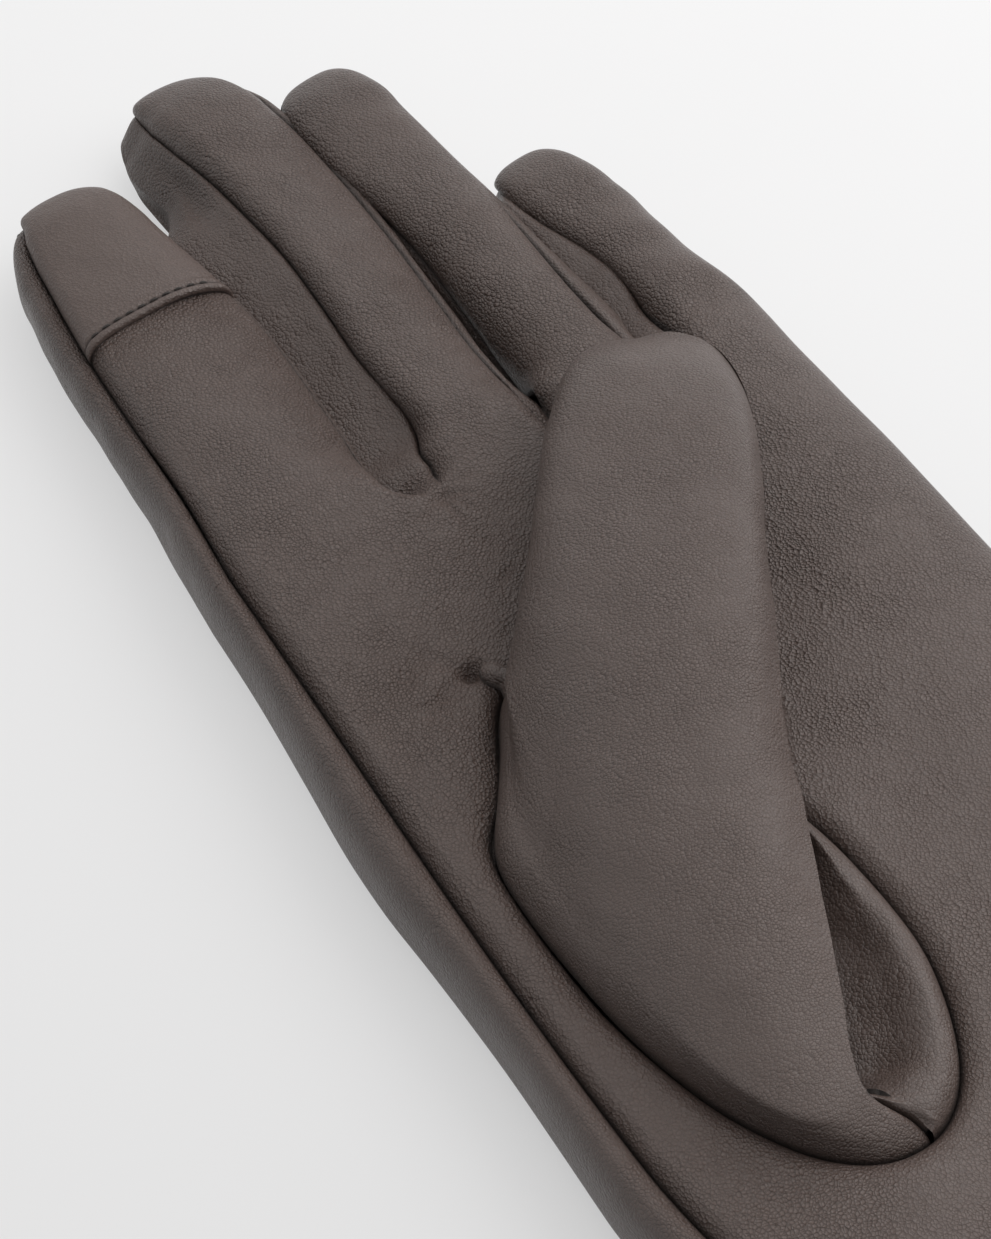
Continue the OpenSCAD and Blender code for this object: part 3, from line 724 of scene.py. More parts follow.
def finger_strip(f, lo, hi, wide, r_lo, r_hi):
    """Points of one panel between the turns lo(run) and hi(run).

    wide is the panel's usual width, in mm. r_lo and r_hi give the radius of a sewn edge, its
    depth, and the share of that depth which it has at the crease."""
    run = finger_runs(f)[:, None]
    q = edge_steps(wide, r_lo[0], r_hi[0], 12, max(16, int(wide / 0.45))) / wide
    a = lerp(lo(run), hi(run), q[None, :])
    p = finger_surface(f, run, a)
    n = grid_normals(p)
    n[-1] = (0, 1, 0)
    up = np.array([0, 0, 1.0])
    upward = smooth((n[..., 2:] + 0.05) / 0.3)
    n = unit(lerp(n, lerp(up, n, smooth(run / 16)[..., None]), upward))
    if f["key"] == "index":
        n = unit(n + 0.8 * up * smooth((f["l"] - 4 - run) / 6)[..., None])
    d_lo = walked(p, 1)
    total = d_lo[:, -1:]
    d_hi = total - d_lo
    depth, dark = 0, 0
    for d, (r, deep, crease_share) in ((d_lo, r_lo), (d_hi, r_hi)):
        grow = lerp(crease_share, 1, smooth(run / 7))
        thin = np.minimum(1, total / (2.4 * r)) * lerp(0.35, 1, smooth((f["l"] - run) / 5))
        depth = depth + edge_depth(d, r * thin, deep * thin * grow)
        # dark: painted shade along both seams of the panel
        dark = np.maximum(dark, (1 - d / 0.6) * grow)
    soft = smooth(run / 8) * smooth((f["l"] - run) / 8) * smooth(np.minimum(d_lo, d_hi) / 3)
    height = soft * (0.22 * waves(p, 22, 11) + 0.08 * waves(p, 9, 12))
    p = p + n * (height - depth)[..., None]
    p[..., 2] = np.maximum(p[..., 2], 0)
    return p, dark


def finger_piece(name, grid, material, node):
    points, dark = grid
    finish_finger(grid_object(name, points, material, painted_shade=dark), (node,))


def finish_finger(obj, nodes):
    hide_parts(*nodes)
    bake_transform(obj)


# Where the slanting side panels end: neighbour, its turn there, the step from the seam to the
# panel's end near the tip in x and z, and the runs over which that step takes over
BANDS = {
    "middle": ("index", 17, (-4.8, -5.6), 54, 66),
    "little": ("ring", 26, (-1.6, -2.6), 33, 40),
}


def band_strip(key, seam):
    """A left side panel that shows as a band from its deep seam down to the neighbour's side"""
    f = FINGERS[key]
    near, turn, tip_step, tip_from, tip_to = BANDS[key]
    g = FINGERS[near]
    run = finger_runs(f)[:, None]
    q = np.concatenate([edge_steps(8, 1.2, 0.8, 10, 30) / 8 * 0.6,
                        np.linspace(0.6, 1, 16)[1:]])[None, :]
    row = VALLEYS[near, key]
    open_s = smooth(run / OPEN_RUN)
    p0 = seam[:, None]
    p1 = finger_surface(g, np.minimum(run, g["l"] - 4), turn + 0 * run)
    x1 = lerp(row[1], p1[..., 0] - 0.8, open_s)
    z1 = lerp(palm_z(row[1], PALM_L) - row[4][1], p1[..., 2] - 0.8, open_s)
    tip = smooth((run - tip_from) / (tip_to - tip_from))
    small = np.sqrt(np.maximum(0, 1 - np.clip((run - f["l"] + TIP_L) / TIP_L, 0, 1)**2)) ** 0.6
    x1 = lerp(x1, p0[..., 0] + tip_step[0] * small, tip)
    z1 = lerp(z1, np.maximum(p0[..., 2] + tip_step[1] * small, 4.0), tip)
    x0, z0 = p0[..., 0], p0[..., 2]
    p2 = finger_surface(f, run, 180 + LOWER + 0 * run)
    v = np.clip((q - 0.6) / 0.4, 0, 1)
    t = np.clip(q / 0.6, 0, 1)
    wide = np.hypot(x0 - x1, z0 - z1)
    x = np.where(q < 0.6, lerp(x0, x1, t), lerp(x1, p2[..., 0], 1 - cosd(90 * v)))
    z = np.where(q < 0.6, lerp(z0, z1, t) + small * ridge(t * wide, wide),
                 lerp(z1, p2[..., 2], sind(90 * v)))
    p = np.stack([x, p0[..., 1] + 0 * x, z], -1)
    crumple = smooth(run / 10) * smooth((f["l"] - run) / 8) * np.sin(math.pi * t) ** 0.5 * (q < 0.6)
    dent = 0.9 * hump(run, 62, 13) * hump(t, 0.42, 0.3) if key == "middle" else 0
    p[..., 2] += crumple * (0.16 * waves(p, 14, 71) + 0.05 * waves(p, 6, 72)) - dent * crumple
    # dark: painted shade along the deep seam; the strip tucked below it is painted fully dark, as shade
    dark = (1 - t * wide / 0.6) * (q < 0.5)
    below = p[:, :1] + small[..., None] * np.array([0.5, 0, -0.9])
    return np.concatenate([below, p], 1), np.concatenate([1 + 0 * run, dark], 1)


def low_left(run):
    return 180 + LOWER + 0 * run


def low_right(run):
    return -LOWER + 0 * run


def back_end(run):
    return 360 - LOWER + 0 * run


def wrap_end(run):
    return LOWER - 180 + 0 * run


def beside(turn, step):
    """A seam's turn with a small step off the seam"""
    return lambda run: turn(run) + step


SMALL = (1.3, 1.2, 0.0)
FRONT_EDGES = {
    "index": (24, (2.4, 1.6, 4.4 / 1.6), (SEAM_LEFT[0], 2.6, SEAM_LEFT[1] / 2.6)),
    "middle": (18, (2.8, 1.8, 2.6 / 1.8), (4.2, 3.0, 1.0)),
    "ring": (18, (2.2, 1.8, 2.0 / 1.8), (3.0, 1.6, 3.4 / 1.6)),
}
RIGHT_NODES = {"index": "index_fourchette", "middle": "middle_fourchette_ring_side",
               "ring": "ring_fourchette_little_side"}
LEFT_NODES = {"middle": "middle_fourchette_index_side", "ring": "ring_fourchette_middle_side",
              "little": "little_fourchette"}
for key, f in FINGERS.items():
    left, right = SEAMS[key]
    if key == "little":
        front = finger_strip(f, wrap_end, left, 44, SMALL, (3.6, 2.0, 3.4 / 2.0))
        finger_piece("little_wrap_leather", front, "nappa", "little_wrap")
    else:
        front = finger_strip(f, right, left, *FRONT_EDGES[key])
        finger_piece(key + "_front_leather", front, "nappa", key + "_front")
        if key == "index":
            back = finger_strip(f, beside(left, 0.02), back_end, 42, (*SEAM_ROLL, 1.0), SMALL)
        else:
            back = finger_strip(f, low_left, back_end, 20, SMALL, SMALL)
        finger_piece(key + "_back_leather", back, "nappa", key + "_back")
        node = RIGHT_NODES[key]
        panel = finger_strip(f, low_right, beside(right, -0.02), 8, SMALL, SMALL)
        finger_piece(node + "_leather", panel, "nappa_side_shaded", node)
    if key != "index":
        node = LEFT_NODES[key]
        if key in BANDS:
            panel = band_strip(key, front[0][:, -1])
        else:
            panel = finger_strip(f, beside(left, 0.02), low_left, 9, (1.8, 1.6, 0.0), SMALL)
        finger_piece(node + "_leather", panel, "nappa_side_shaded", node)

# ---- the conductive cap on the index finger ----
def cap_start(q):
    """Where the cap's folded edge crosses the finger, q from the outer seam"""
    return lerp(41.8, 40.9, q) + 0.8 * np.sin(math.pi * q)


def outward(f, run, a):
    """Direction away from a finger's surface"""
    hi = np.minimum(run + 0.3, f["l"] - 0.01)
    along = finger_surface(f, hi, a) - finger_surface(f, hi - 0.6, a)
    around = finger_surface(f, np.minimum(run, f["l"] - 0.05), a + 1) - finger_surface(
        f, np.minimum(run, f["l"] - 0.05), a - 1)
    return unit(np.cross(along, around))


# The folded edge: distance ahead of the fold's line, height over the finger
CAP_EDGE = ((0.30, -0.25), (0.12, -0.05), (0.0, 0.2), (-0.05, 0.5), (0.0, 0.8), (0.12, 1.0),
            (0.3, 1.1), (0.55, 1.12), (0.8, 1.05), (1.0, 0.9), (1.15, 0.74), (1.3, 0.62),
            (1.42, 0.66), (1.55, 0.78), (1.75, 0.86), (2.0, 0.88), (2.4, 0.86))
CAP_REST = 46.5    # the run at which the cap's plain part starts
CAP_STITCH_L, CAP_STITCH_PITCH = 1.2, 1.9


def cap_grid():
    f = FINGERS["index"]
    left, right = SEAMS["index"]
    q = edge_steps(24, 2.2, 3.0, 12, 60) / 24
    ahead, lift = np.array(CAP_EDGE).T
    len0 = f["l"] - TIP_L
    rest = np.concatenate([np.linspace(CAP_REST, len0, 26), len0 + TIP_L * sind(
        np.linspace(0, 90, 34))[1:]])
    start = cap_start(q)[None, :]
    share = (rest[:, None] - CAP_REST) / (f["l"] - CAP_REST) + 1e-3
    far = lerp(start + CAP_EDGE[-1][0], f["l"] + 0 * start, share)
    run = np.concatenate([start + ahead[:, None], np.minimum(far, f["l"])], 0)
    high = np.concatenate([lift, np.full(len(rest), 0.8)])[:, None]
    a = lerp(left(run), right(run), q[None, :])
    p = finger_surface(f, run, a)
    up = np.array([0, 0, 1.0])
    n = unit(outward(f, run, a) + 0.8 * up * smooth((f["l"] - 4 - run) / 6)[..., None])
    d_lo = walked(p, 1)
    d_hi = d_lo[:, -1:] - d_lo
    thin = np.minimum(1, d_lo[:, -1:] / 6) * lerp(0.35, 1, smooth((f["l"] - run) / 5))
    depth = edge_depth(d_lo, 2.2 * thin, 2.2 * thin) + edge_depth(d_hi, 3.0 * thin, 3.2 * thin)
    soft = smooth((f["l"] - run) / 8) * smooth(np.minimum(d_lo, d_hi) / 3)
    height = high + soft * (0.16 * waves(p, 18, 41) + 0.05 * waves(p, 6, 42)) - depth
    # dark: painted shade along the side seams, in the stitch groove behind the folded lip (lip_shade) and
    # under the lip
    dark = np.maximum(1 - d_hi / 0.6, 1 - d_lo / 0.5)
    lip_shade = np.exp(-((run - start - 1.3) / 0.25) ** 2) * 0.8
    under = (run - start < 0.35) & (high < 0.3)
    return p + n * height[..., None], np.maximum(dark, np.maximum(lip_shade, 0.9 * under))


def thread_piece(name, ends, radius, sag):
    """Stitches: each a short thread that dips into the leather at both ends"""
    k, m = 9, 8
    u = np.linspace(0, 1, k)
    ring = np.linspace(0, 2 * math.pi, m, endpoint=False)
    parts = []
    for a, b, n in ends:
        a, b, n = np.array(a), np.array(b), np.array(n)
        d = unit(b - a)
        w = np.cross(d, n)
        line = a + (b - a) * u[:, None] + n * (sag * (np.sin(math.pi * u) ** 0.5 - 0.75))[:, None]
        slim = radius * (0.55 + 0.45 * np.sin(math.pi * u) ** 0.5)
        p = line[:, None] + slim[:, None, None] * (np.cos(ring)[None, :, None] * w
                                                   + 0.8 * np.sin(ring)[None, :, None] * n)
        parts.append((np.concatenate([p, p[:, :1]], 1), np.zeros((k, m + 1)), False))
    points, quads, dark = join(parts)
    return mesh_object(name, points, quads, "thread", dark)


def join(parts):
    """Grids joined into one set of points and quads"""
    points, quads, dark, count = [], [], [], 0
    for p, g, flip in parts:
        ids = np.arange(p.shape[0] * p.shape[1]).reshape(p.shape[:2]) + count
        q = np.stack([ids[:-1, :-1], ids[1:, :-1], ids[1:, 1:], ids[:-1, 1:]], -1).reshape(-1, 4)
        quads.append(q[:, ::-1] if flip else q)
        points.append(p.reshape(-1, 3))
        dark.append(g.reshape(-1))
        count += p.shape[0] * p.shape[1]
    return np.concatenate(points), np.concatenate(quads), np.concatenate(dark)


def stitches(line, first, length, pitch, count):
    """Start, end and upward direction of each stitch along a line"""
    gone, ends = walked(line), []
    for k in range(count):
        a, b = [point_at(first + pitch * k + e, gone, line) for e in (0, length)]
        d = unit(b - a)
        n = unit(np.array([-d[2], 0, d[0]]))
        ends.append((a, b, n if n[2] > 0 else -n))
    return ends


cap = cap_grid()
finger_piece("touch_cap_leather", cap, "cap", "touch_cap")
line = cap[0][12, 10:-10] + np.array([0, 0, 0.14])
count = int((walked(line)[-1] - 1.5) // CAP_STITCH_PITCH)
ends = stitches(line, 0.4, CAP_STITCH_L, CAP_STITCH_PITCH, count)
finish_finger(thread_piece("touch_cap_stitches", ends, 0.18, 0.22),
              ("touch_cap_stitching",))

# ---- wrist: stitches, binding and the lining of the hand ----
y = -CUFF_L + STITCH_IN
xs = np.linspace(seam_x(y) + 1, right_x(y) - 0.3, 400)
line = np.stack([xs, np.full(400, y), palm_form(xs, np.full(400, y))[0]], -1)
line = line[line[:, 2] > 0.8 * PALM_H]
length = walked(line)[-1]
count = int((length - STITCH_L) // STITCH_PITCH)
first = (length - (count - 1) * STITCH_PITCH - STITCH_L) / 2
ends = stitches(line, first, STITCH_L, STITCH_PITCH, count)
place(thread_piece("wrist_stitches", ends, 0.24, 0.34), "hand", "wrist_stitching", slot="thread")


def wrist_outline(count):
    n_side = len(row_y)
    over = palm[-1, n_side - 1:n_side + ACROSS_N - 1][:, [0, 2]]
    loop = np.concatenate([over, side[-1][1:, [0, 2]]])
    loop = np.concatenate([loop, loop[:1]])
    gone = walked(loop)
    loop = point_at(np.linspace(0, gone[-1], count, endpoint=False), gone, loop)
    for _ in range(6):
        loop = (np.roll(loop, 1, 0) + 2 * loop + np.roll(loop, -1, 0)) / 4
    return loop


loop = wrist_outline(520)
out = unit(np.roll(loop, -1, 0) - np.roll(loop, 1, 0))
out = np.stack([-out[:, 1], out[:, 0]], -1)
# The binding's section: distance out from the wrist's outline, and y
profile = np.array([(-0.5, -81.6), (0.12, -81.75), (0.34, -82.1), (0.4, -82.6), (0.28, -83.2),
                    (-0.1, -83.6), (-0.6, -83.78), (-1.2, -83.78), (-1.7, -83.6), (-2.05, -83.2),
                    (-2.15, -82.6), (-2.0, -81.9), (-1.6, -81.5)])
edge = np.stack([loop[:, 0] + out[:, 0] * o for o, _ in profile])
rise = np.stack([np.maximum(0, loop[:, 1] + out[:, 1] * o) for o, _ in profile])
away = np.broadcast_to(profile[:, 1:2], edge.shape)
ripple = 0.12 * waves(np.stack([edge, away, rise], -1), 5, 51)
p = np.stack([edge, np.maximum(away + ripple * (away > -83.5), -83.79), rise], -1)
# The binding's inner edge, against the glove, is painted dark: painted shade in that joint
place(grid_object("wrist_binding_leather", p, "binding", closed=True, flip=True,
                  painted_shade=np.repeat((np.arange(len(profile)) == 0)[:, None] * 1.0, len(loop), 1)),
      "hand", "wrist_binding", slot="leather")


def hand_lining_grid():
    y = np.linspace(PALM_L - 1, -CUFF_L - 0.3, 130)[:, None]
    b = np.linspace(0, 360, 181)[None, :-1]
    x0, x1 = left_x(y) + tuck(y) + 2.0, right_x(y) - 1.9
    x = (x0 + x1) / 2 + (x1 - x0) / 2 * spow(cosd(b), 0.72)
    s = sind(b)
    xs = seam_x(y)
    lid = palm_form(np.maximum(x, xs), y)[0] - 1.7
    q = np.clip((xs - x) / np.maximum(xs - left_x(y) - tuck(y), 0.1), 0, 1)
    lid = np.where(x < xs, ROLL_H + (SEAM_H - ROLL_H) * np.sqrt(1 - q * q)
                   - edge_depth(xs - x, *SEAM_ROLL) - 1.6, lid)
    z = np.where(s > 0, np.minimum(SIDE_H - 1 + 8.2 * np.abs(s) ** 0.45, lid),
                 SIDE_H - 1 - 5.8 * np.abs(s) ** 0.4)
    z = np.maximum(z, 1.1)
    keep = (hole_distance(x, y + 0 * x) > -0.5) | (s < 0.05)
    return np.stack([x, y + 0 * x, z], -1), keep


p, keep = hand_lining_grid()
place(grid_object("hand_lining_knit", p, "knit", closed=True, keep=keep), "hand", "hand_lining",
      slot="lining")

# ---- the little gusset at the crotch of the thumb ----
fan = np.linspace(0, 2 * math.pi, 73)[:-1]
ring = sind(np.linspace(0, 90, 16))
corner = 1 + 0.30 * np.cos(3 * (fan - 2.2)) + 0.12 * np.cos(2 * (fan - 2.1))
x = -22.0 + 2.5 * ring[:, None] * (corner * np.cos(fan))[None, :]
y = 41.2 + 3.0 * ring[:, None] * (corner * np.sin(fan))[None, :]
z = PALM_H - 0.9 + 2.3 * np.sqrt(1 - np.minimum(ring, 1) ** 2)[:, None] + 0 * x
p = np.stack([x, y, z], -1)
p = p + np.array([0, 0, 1.0]) * (0.12 * waves(p, 3, 61))[..., None]
# Its rim is painted dark: painted shade where the gusset sinks into the palm
place(grid_object("thumb_quirk_leather", p, "nappa_side_shaded", closed=True,
                  painted_shade=np.repeat(smooth((ring - 0.85) / 0.15)[:, None], 72, 1)),
      "hand", "thumb_quirk", slot="leather")

# ---- the thumb ----
THUMB_Z = PALM_H + 0.3


def hole_point(turn):
    return np.array([HOLE_X + HOLE_W / 2 * cosd(turn), HOLE_Y + HOLE_L / 2 * sind(turn), THUMB_Z])


def bezier(p, t):
    t = t[..., None]
    return ((1 - t)**3 * p[0] + 3 * (1 - t)**2 * t * p[1] + 3 * (1 - t) * t**2 * p[2]
            + t**3 * p[3])


# The seam up from the rim, then the fold along the thumb's right side: its share t along the
# thumb, then x, y, z. The places follow marks on the photo, put through the fitted camera at a
# chosen height.
FOLD = (
    (0.0, -19.0, -36.0, 16.9), (0.03, -20.1, -33.8, 17.6), (0.06, -21.9, -31.4, 19.2),
    (0.09, -23.6, -28.9, 21.0), (0.12, -22.3, -25.2, 22.0), (0.16, -19.2, -20.0, 22.6),
    (0.20, -16.1, -14.4, 23.0), (0.25, -12.3, -7.4, 23.2), (0.30, -8.4, -0.1, 23.3),
    (0.345, -4.9, 5.9, 23.3), (0.385, -1.3, 12.2, 23.2), (0.45, 3.6, 21.3, 23.0),
    (0.52, 8.8, 29.4, 23.0), (0.58, 13.0, 35.4, 23.0), (0.64, 16.9, 41.0, 23.0),
    (0.70, 20.4, 46.4, 23.0), (0.77, 24.0, 52.2, 22.8), (0.83, 26.6, 57.6, 22.5),
    (0.88, 27.9, 62.4, 22.3), (0.92, 27.9, 66.0, 22.1), (0.955, 26.6, 69.2, 22.0),
    (0.98, 24.2, 71.6, 22.0), (1.0, 20.5, 72.8, 22.0))
TOP_END = np.array([20.5, 72.8, 22.0])
OVERHANG = np.array([-0.85, 0.5])    # the way in under the fold, in x and y


def guide(turn, leave, arrive):
    """Control points of a curve from the thumb's seam to the end of the fold"""
    return [hole_point(turn), hole_point(turn) + leave, TOP_END + arrive, TOP_END]


LEFT = guide(96, (8, -1, 4.8), (-14.5, 10, 0))
UPPER = guide(-174, (4, 5, 14.4), (-3, -10, 14.0))
UNDER = guide(54, (5, 8, 0), (-9, -13, -12.5))
FOLD_OUT = 0.305    # past this the fold lies over the palm, short of it inside the thumb's seam
RIM_OUT = 2.0      # the turn of the rim there
# Which turn of the rim each place of the fold looks across at
ACROSS = table([(0, -84), (0.045, -79), (0.09, -71), (0.16, -52), (0.20, -39), (0.25, -21),
                (0.28, -9), (FOLD_OUT, RIM_OUT)])


def fold(t):
    """Smooth curve through the places of the fold"""
    share, *places = zip(*FOLD)
    return np.stack([curve(t, share, v) for v in places], -1)


def tube(t, a, right, power=0.54):
    """Section of the thumb at turn a, between the line on its right and its guiding curves"""
    left, up, down = bezier(LEFT, t), bezier(UPPER, t), bezier(UNDER, t)
    mid = (left + right) / 2
    blunt = np.minimum(1, 5 * t)
    c, s = cosd(a), sind(a)
    return (mid + (right - left) / 2 * spow(c, lerp(1, 0.84, blunt))[..., None]
            + np.where((s > 0)[..., None], up - mid, down - mid)
            * (np.abs(s) ** lerp(1, power, blunt))[..., None])


def along(n):
    v = np.linspace(0, 1, n)
    t = 0.35 * v**2 + 0.65 * np.sin(v * math.pi / 2) ** 1.3
    return t / t[-1] * 0.9985


def thumb_front_grid():
    t, a = np.meshgrid(along(240), np.concatenate([
        np.linspace(0, 12, 20)[:-1], np.linspace(12, 180, 150)]), indexing="ij")
    p, start = [tube(v, a, fold(v)) for v in (t, 0 * t)]
    p = p + (rim_point(-84 - a, THUMB_Z) - start) * (1 - smooth(t / 0.22))[..., None]
    n = grid_normals(p)
    d, side = walked(p, 0), walked(p, 1)
    sewn = edge_depth(side, 1.6, 1.1) * (1 - smooth((t - 0.06) / 0.03))
    soft = smooth(d / 10) * smooth((1 - t) / 0.1)
    p = p + n * (soft * (0.3 * waves(p, 26, 21) + 0.08 * waves(p, 10, 22)) - sewn)[..., None]
    p[..., 2] -= edge_depth(d, 4.2, THUMB_Z - RIM_Z)
    # dark: painted shade along the seam round the thumb and the short side seam
    dark = np.maximum(1 - d / 0.7, (1 - side / 0.4) * (t < 0.085))
    return p, dark


def pocket_grid():
    """The hollow between the fold and the seam round the thumb, and the roll beside that seam"""
    s = np.linspace(0, 1, 150)
    t, q = np.meshgrid(FOLD_OUT * s, np.concatenate([
        0.12 * np.linspace(0, 1, 14)[:-1] ** 1.5, np.linspace(0.12, 0.62, 30)[:-1],
        1 - 0.38 * (1 - sind(np.linspace(0, 90, 40)))]), indexing="ij")
    top, foot = fold(t), rim_point(ACROSS(t), RIM_Z)
    wide = np.linalg.norm((top - foot)[..., :2], axis=-1)
    plan = lerp(top[..., :2], foot[..., :2], q[..., None])
    d = wide * (1 - q)
    inner = smooth((t - 0.07) / 0.05)
    r = np.minimum(3.2, 0.45 * wide)
    crown = lerp(2.0, 3.6, smooth(wide / 6))
    roll = RIM_Z + crown * np.sqrt(1 - (1 - np.minimum(d, r) / np.maximum(r, 1e-6)) ** 2)
    floor = lerp(16.6, 13.2, smooth(wide / 8))
    z = lerp(roll, floor, smooth((d - r) / np.maximum(0.8 * (wide - r), 1e-6)) * inner)
    wall = np.clip(1 - q / 0.12, 0, 1) ** 1.5
    z = lerp(z, top[..., 2], wall * inner)
    outer = lerp(roll, top[..., 2] - 1.1 * (1 - np.clip(q / 0.3, 0, 1)) ** 2, (1 - q) ** 1.5)
    z = lerp(outer, z, inner)
    z += 1.5 * hump(t, 0.115, 0.022) * hump(q, 0.35, 0.42) - 0.7 * hump(t, 0.083, 0.02) * hump(
        q, 0.3, 0.3)
    p = np.concatenate([plan, z[..., None]], -1)
    under = np.where(q < 0.12, sind(90 * np.minimum(1, q / 0.12)), smooth((0.5 - q) / 0.38))
    p[..., :2] += (2.2 * under * inner * smooth((t - 0.09) / 0.08) * smooth(
        (FOLD_OUT - t) / 0.03))[..., None] * OVERHANG
    p = p + np.array([0, 0, 1.0]) * (smooth(d / 3) * smooth(q / 0.2)
                                     * 0.18 * waves(p, 7, 31))[..., None]
    # dark: painted shade along the seams, and over the hollow under the fold
    dark = np.maximum(1 - d / 0.7, (1 - q * wide / 0.5) * (t < 0.085))
    dark = np.maximum(dark, 0.55 * smooth((0.5 - q) / 0.4) * inner)
    return p, dark


def thumb_under_grid(joint):
    """The underside past the pocket, down to the seam where the palm hides it"""
    t, a = np.meshgrid(along(150), np.linspace(180, 360, 110), indexing="ij")
    start = rim_point(RIM_OUT, RIM_Z)
    share = np.linspace(0, 1, len(joint))
    rise = np.stack([np.interp(t / 0.16, share, joint[::-1, i]) for i in range(3)], -1)
    right = np.where(t[..., None] < 0.16, rise,
                     fold(FOLD_OUT + (1 - FOLD_OUT) * (t - 0.16) / 0.84))
    p, p0 = tube(t, a, right, 0.8), tube(0 * t, a, start)
    turn = lerp(96, RIM_OUT, (a - 180) / 180)
    p = p + (rim_point(turn, RIM_Z) - p0) * (1 - smooth(t / 0.2))[..., None]
    chord = lerp(right, bezier(LEFT, t), ((1 - cosd(a)) / 2)[..., None])
    edge_in = (smooth(t / 0.2) * smooth((a - 300) / 60))[..., None]
    p[..., :2] = lerp(p[..., :2], chord[..., :2], edge_in)
    undercut = 3.2 * smooth((t - 0.1) / 0.08) * (1 - smooth((t - 0.5) / 0.2)) * np.sqrt(
        np.maximum(0, sind(np.clip(2.2 * (360 - a), 0, 180))))
    p[..., :2] += undercut[..., None] * OVERHANG
    clear = lerp(RIM_Z, THUMB_Z, smooth(t / 0.06)) - 9 * smooth((a - 335) / 20)
    p[..., 2] = np.maximum(clear, p[..., 2])
    # painted shade along the seam round the thumb
    return p, 0.6 * (1 - t / 0.02)


def thumb_piece(name, parts, material, node):
    points, quads, dark = join(parts)
    obj = mesh_object(name, points, quads, material, dark)
    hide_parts(node)
    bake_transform(obj)


front, pocket = thumb_front_grid(), pocket_grid()
under = thumb_under_grid(pocket[0][-1])
thumb_piece("thumb_front_leather", [(*front, False)], "nappa_thumb", "thumb_front")
thumb_piece("thumb_back_leather", [(*pocket, True), (*under, False)], "nappa_side_shaded",
            "thumb_back")


def inset(grid, depth):
    p, dark = grid
    return p - grid_normals(p) * depth, 0 * dark


def inward(grid, depth):
    """The same grid, drawn in towards the middle of the thumb"""
    p, dark = grid
    open_part = (1 - smooth((along(len(p)) - 0.7) / 0.2))[:, None, None]
    middle = p.mean(axis=1, keepdims=True) + open_part * np.array([0, 0, 5.0])
    far = np.linalg.norm(middle - p, axis=-1, keepdims=True)
    return p + (middle - p) * np.minimum(0.8, depth / np.maximum(far, 1e-6)), 0 * dark


thumb_piece("thumb_lining_knit", [(*inset(front, 1.8), True), (*inset(pocket, -1.5), False),
                                  (*inward(under, 2.0), True)], "knit", "thumb_lining")

# ---- linings of the fingers ----
for key, f in FINGERS.items():
    run = finger_runs(f, 1.2, 16)[:, None]
    run = np.minimum(run, f["l"] - 2.2)
    p = finger_surface(f, run, np.linspace(-LOWER, 338, 97)[None, :-1])
    n = grid_normals(p, closed=True)
    p = p - n * lerp(2.4, 5.2, smooth((n[..., 2:] + 0.5) / 0.9))
    p[..., 2] = np.clip(p[..., 2], 1.4, 6.5 if key in BANDS else 9.5)
    obj = grid_object(key + "_lining_knit", p, "knit", closed=True, flip=True)
    finish_finger(obj, (key + "_lining",))

# ---- camera, light and floor ----
PHI, ELEVATION, DISTANCE = 35.0, 54.0, 0.432
TARGET = Vector((-0.015, 0.054, 0.009))
FOCAL_PX, VIEW_PX, SENSOR = 3400.0, 1239.0, 36.0
forward = Vector((cosd(ELEVATION) * sind(PHI), cosd(ELEVATION) * cosd(PHI), -sind(ELEVATION)))
right_v = Vector((cosd(PHI), -sind(PHI), 0))
up_v = right_v.cross(forward)
cam = bpy.data.objects.new("camera", bpy.data.cameras.new("camera"))
cam.data.sensor_width = SENSOR
cam.data.lens = SENSOR * FOCAL_PX / VIEW_PX
cam.matrix_world = Matrix.Translation(TARGET - DISTANCE * forward) @ Matrix(
    (right_v, up_v, -forward)).transposed().to_4x4()
bpy.context.scene.collection.objects.link(cam)
bpy.context.scene.camera = cam


def area_light(name, direction, distance, size, power):
    data = bpy.data.lights.new(name, "AREA")
    data.shape, data.size, data.energy = "DISK", size, power
    obj = bpy.data.objects.new(name, data)
    aim = Vector(direction).normalized()
    obj.location = Vector((0, -0.03, 0)) + aim * distance
    obj.rotation_euler = aim.to_track_quat("Z", "Y").to_euler()
    bpy.context.scene.collection.objects.link(obj)


def shown_rays(tree):
    """1 for rays that show the background: to the camera, mirrored or through glass"""
    rays = tree.nodes.new("ShaderNodeLightPath").outputs
    total = rays["Is Camera Ray"]
    for kind in ("Is Glossy Ray", "Is Transmission Ray"):
        either = tree.nodes.new("ShaderNodeMath")
        either.operation = "MAXIMUM"
        tree.links.new(total, either.inputs[0])
        tree.links.new(rays[kind], either.inputs[1])
        total = either.outputs[0]
    return total


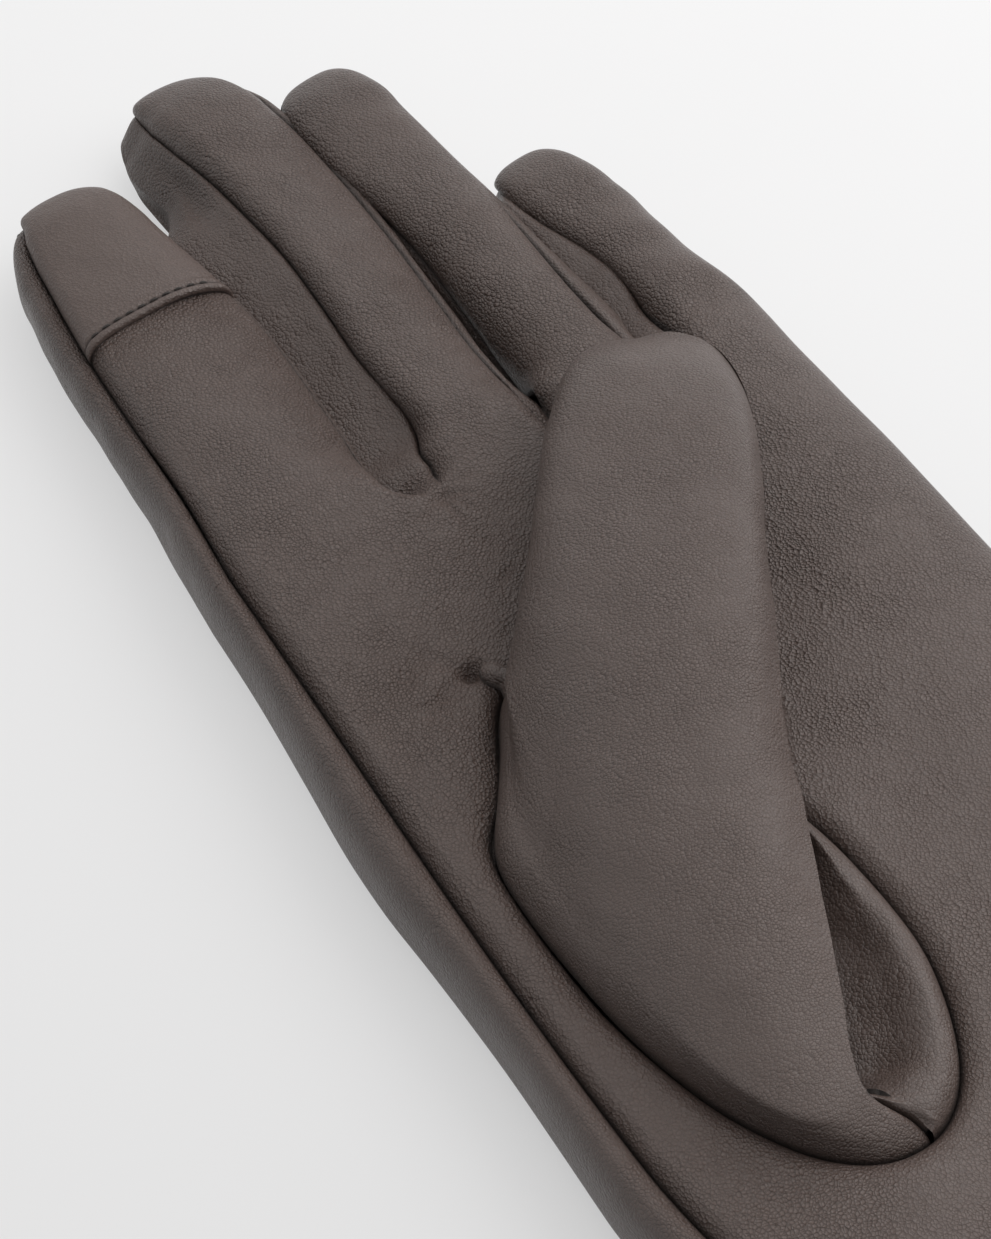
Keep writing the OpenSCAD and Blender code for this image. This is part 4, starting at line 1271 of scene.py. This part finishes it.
area_light("key", (0.80, 0.06, 0.60), distance=0.55, size=0.8, power=1.75)
world = bpy.data.worlds.new("studio")
bpy.context.scene.world = world
world.use_nodes = True
sky = world.node_tree
toward = sky.nodes.new("ShaderNodeTexCoord").outputs["Generated"]
across = sky.nodes.new("ShaderNodeVectorMath")
across.operation = "DOT_PRODUCT"
across.inputs[1].default_value = (0.66, 0.40, 0.63)
sky.links.new(toward, across.inputs[0])
glow = sky.nodes.new("ShaderNodeMapRange")
glow.interpolation_type = "SMOOTHSTEP"
for k, v in ((1, 0.0), (2, 1.0), (3, 0.2), (4, 1.4)):
    glow.inputs[k].default_value = v
sky.links.new(across.outputs["Value"], glow.inputs[0])
seen = sky.nodes.new("ShaderNodeMix")
seen.inputs[3].default_value = 0.88
sky.links.new(shown_rays(sky), seen.inputs[0])
sky.links.new(glow.outputs[0], seen.inputs[2])
sky.nodes["Background"].inputs[0].default_value = (1.0, 0.99, 0.985, 1)
sky.links.new(seen.outputs[0], sky.nodes["Background"].inputs[1])

floor_mesh = bpy.data.meshes.new("floor")
floor_mesh.from_pydata([(-3, -3, 0), (3, -3, 0), (3, 3, 0), (-3, 3, 0)], [], [(0, 1, 2, 3)])
floor = bpy.data.objects.new("floor", floor_mesh)
floor.location.z = -0.0002
bpy.context.scene.collection.objects.link(floor)
FLOOR_GLOW = 0.62    # this share of the floor's tone glows instead of being lit: painted light that softens the shadow
paper = Nodes("paper")
speck = paper.noise(paper.add("ShaderNodeTexCoord").outputs["Object"], 40.0, 3).outputs["Fac"]
# The paper is painted lighter towards +x and +y, the side of the key light: a painted pool of light
where = paper.vector("DOT_PRODUCT", paper.add("ShaderNodeTexCoord").outputs["Object"],
                     (0.8, 0.6, 0.0), "Value")
slope = paper.span(where, -0.16, 0.2, 0.0, 1.0, "LINEAR")
paper_with_painted_light = paper.mix(slope, (0.76, 0.76, 0.762, 1), (0.93, 0.93, 0.932, 1))
lit_part = paper.vector("MULTIPLY", paper_with_painted_light, (1 - FLOOR_GLOW,) * 3)
paper.put(paper.shader.inputs["Base Color"],
          paper.mix(paper.span(speck, 0.3, 0.7, 0.0, 0.03), lit_part, (0.25, 0.25, 0.25, 1)))
# the floor glows for camera and mirror rays: painted light that keeps its tone and softens the object's
# shadow
shown = shown_rays(paper.tree)
paper.put(paper.shader.inputs["Emission Color"], paper_with_painted_light)
paper.put(paper.shader.inputs["Emission Strength"], paper.math("MULTIPLY", shown, FLOOR_GLOW))
paper.shader.inputs["Roughness"].default_value = 0.9
paper.shader.inputs["Specular IOR Level"].default_value = 0.1
floor_mesh.materials.append(paper.mat)

scene = bpy.context.scene
scene.view_settings.view_transform = "Standard"
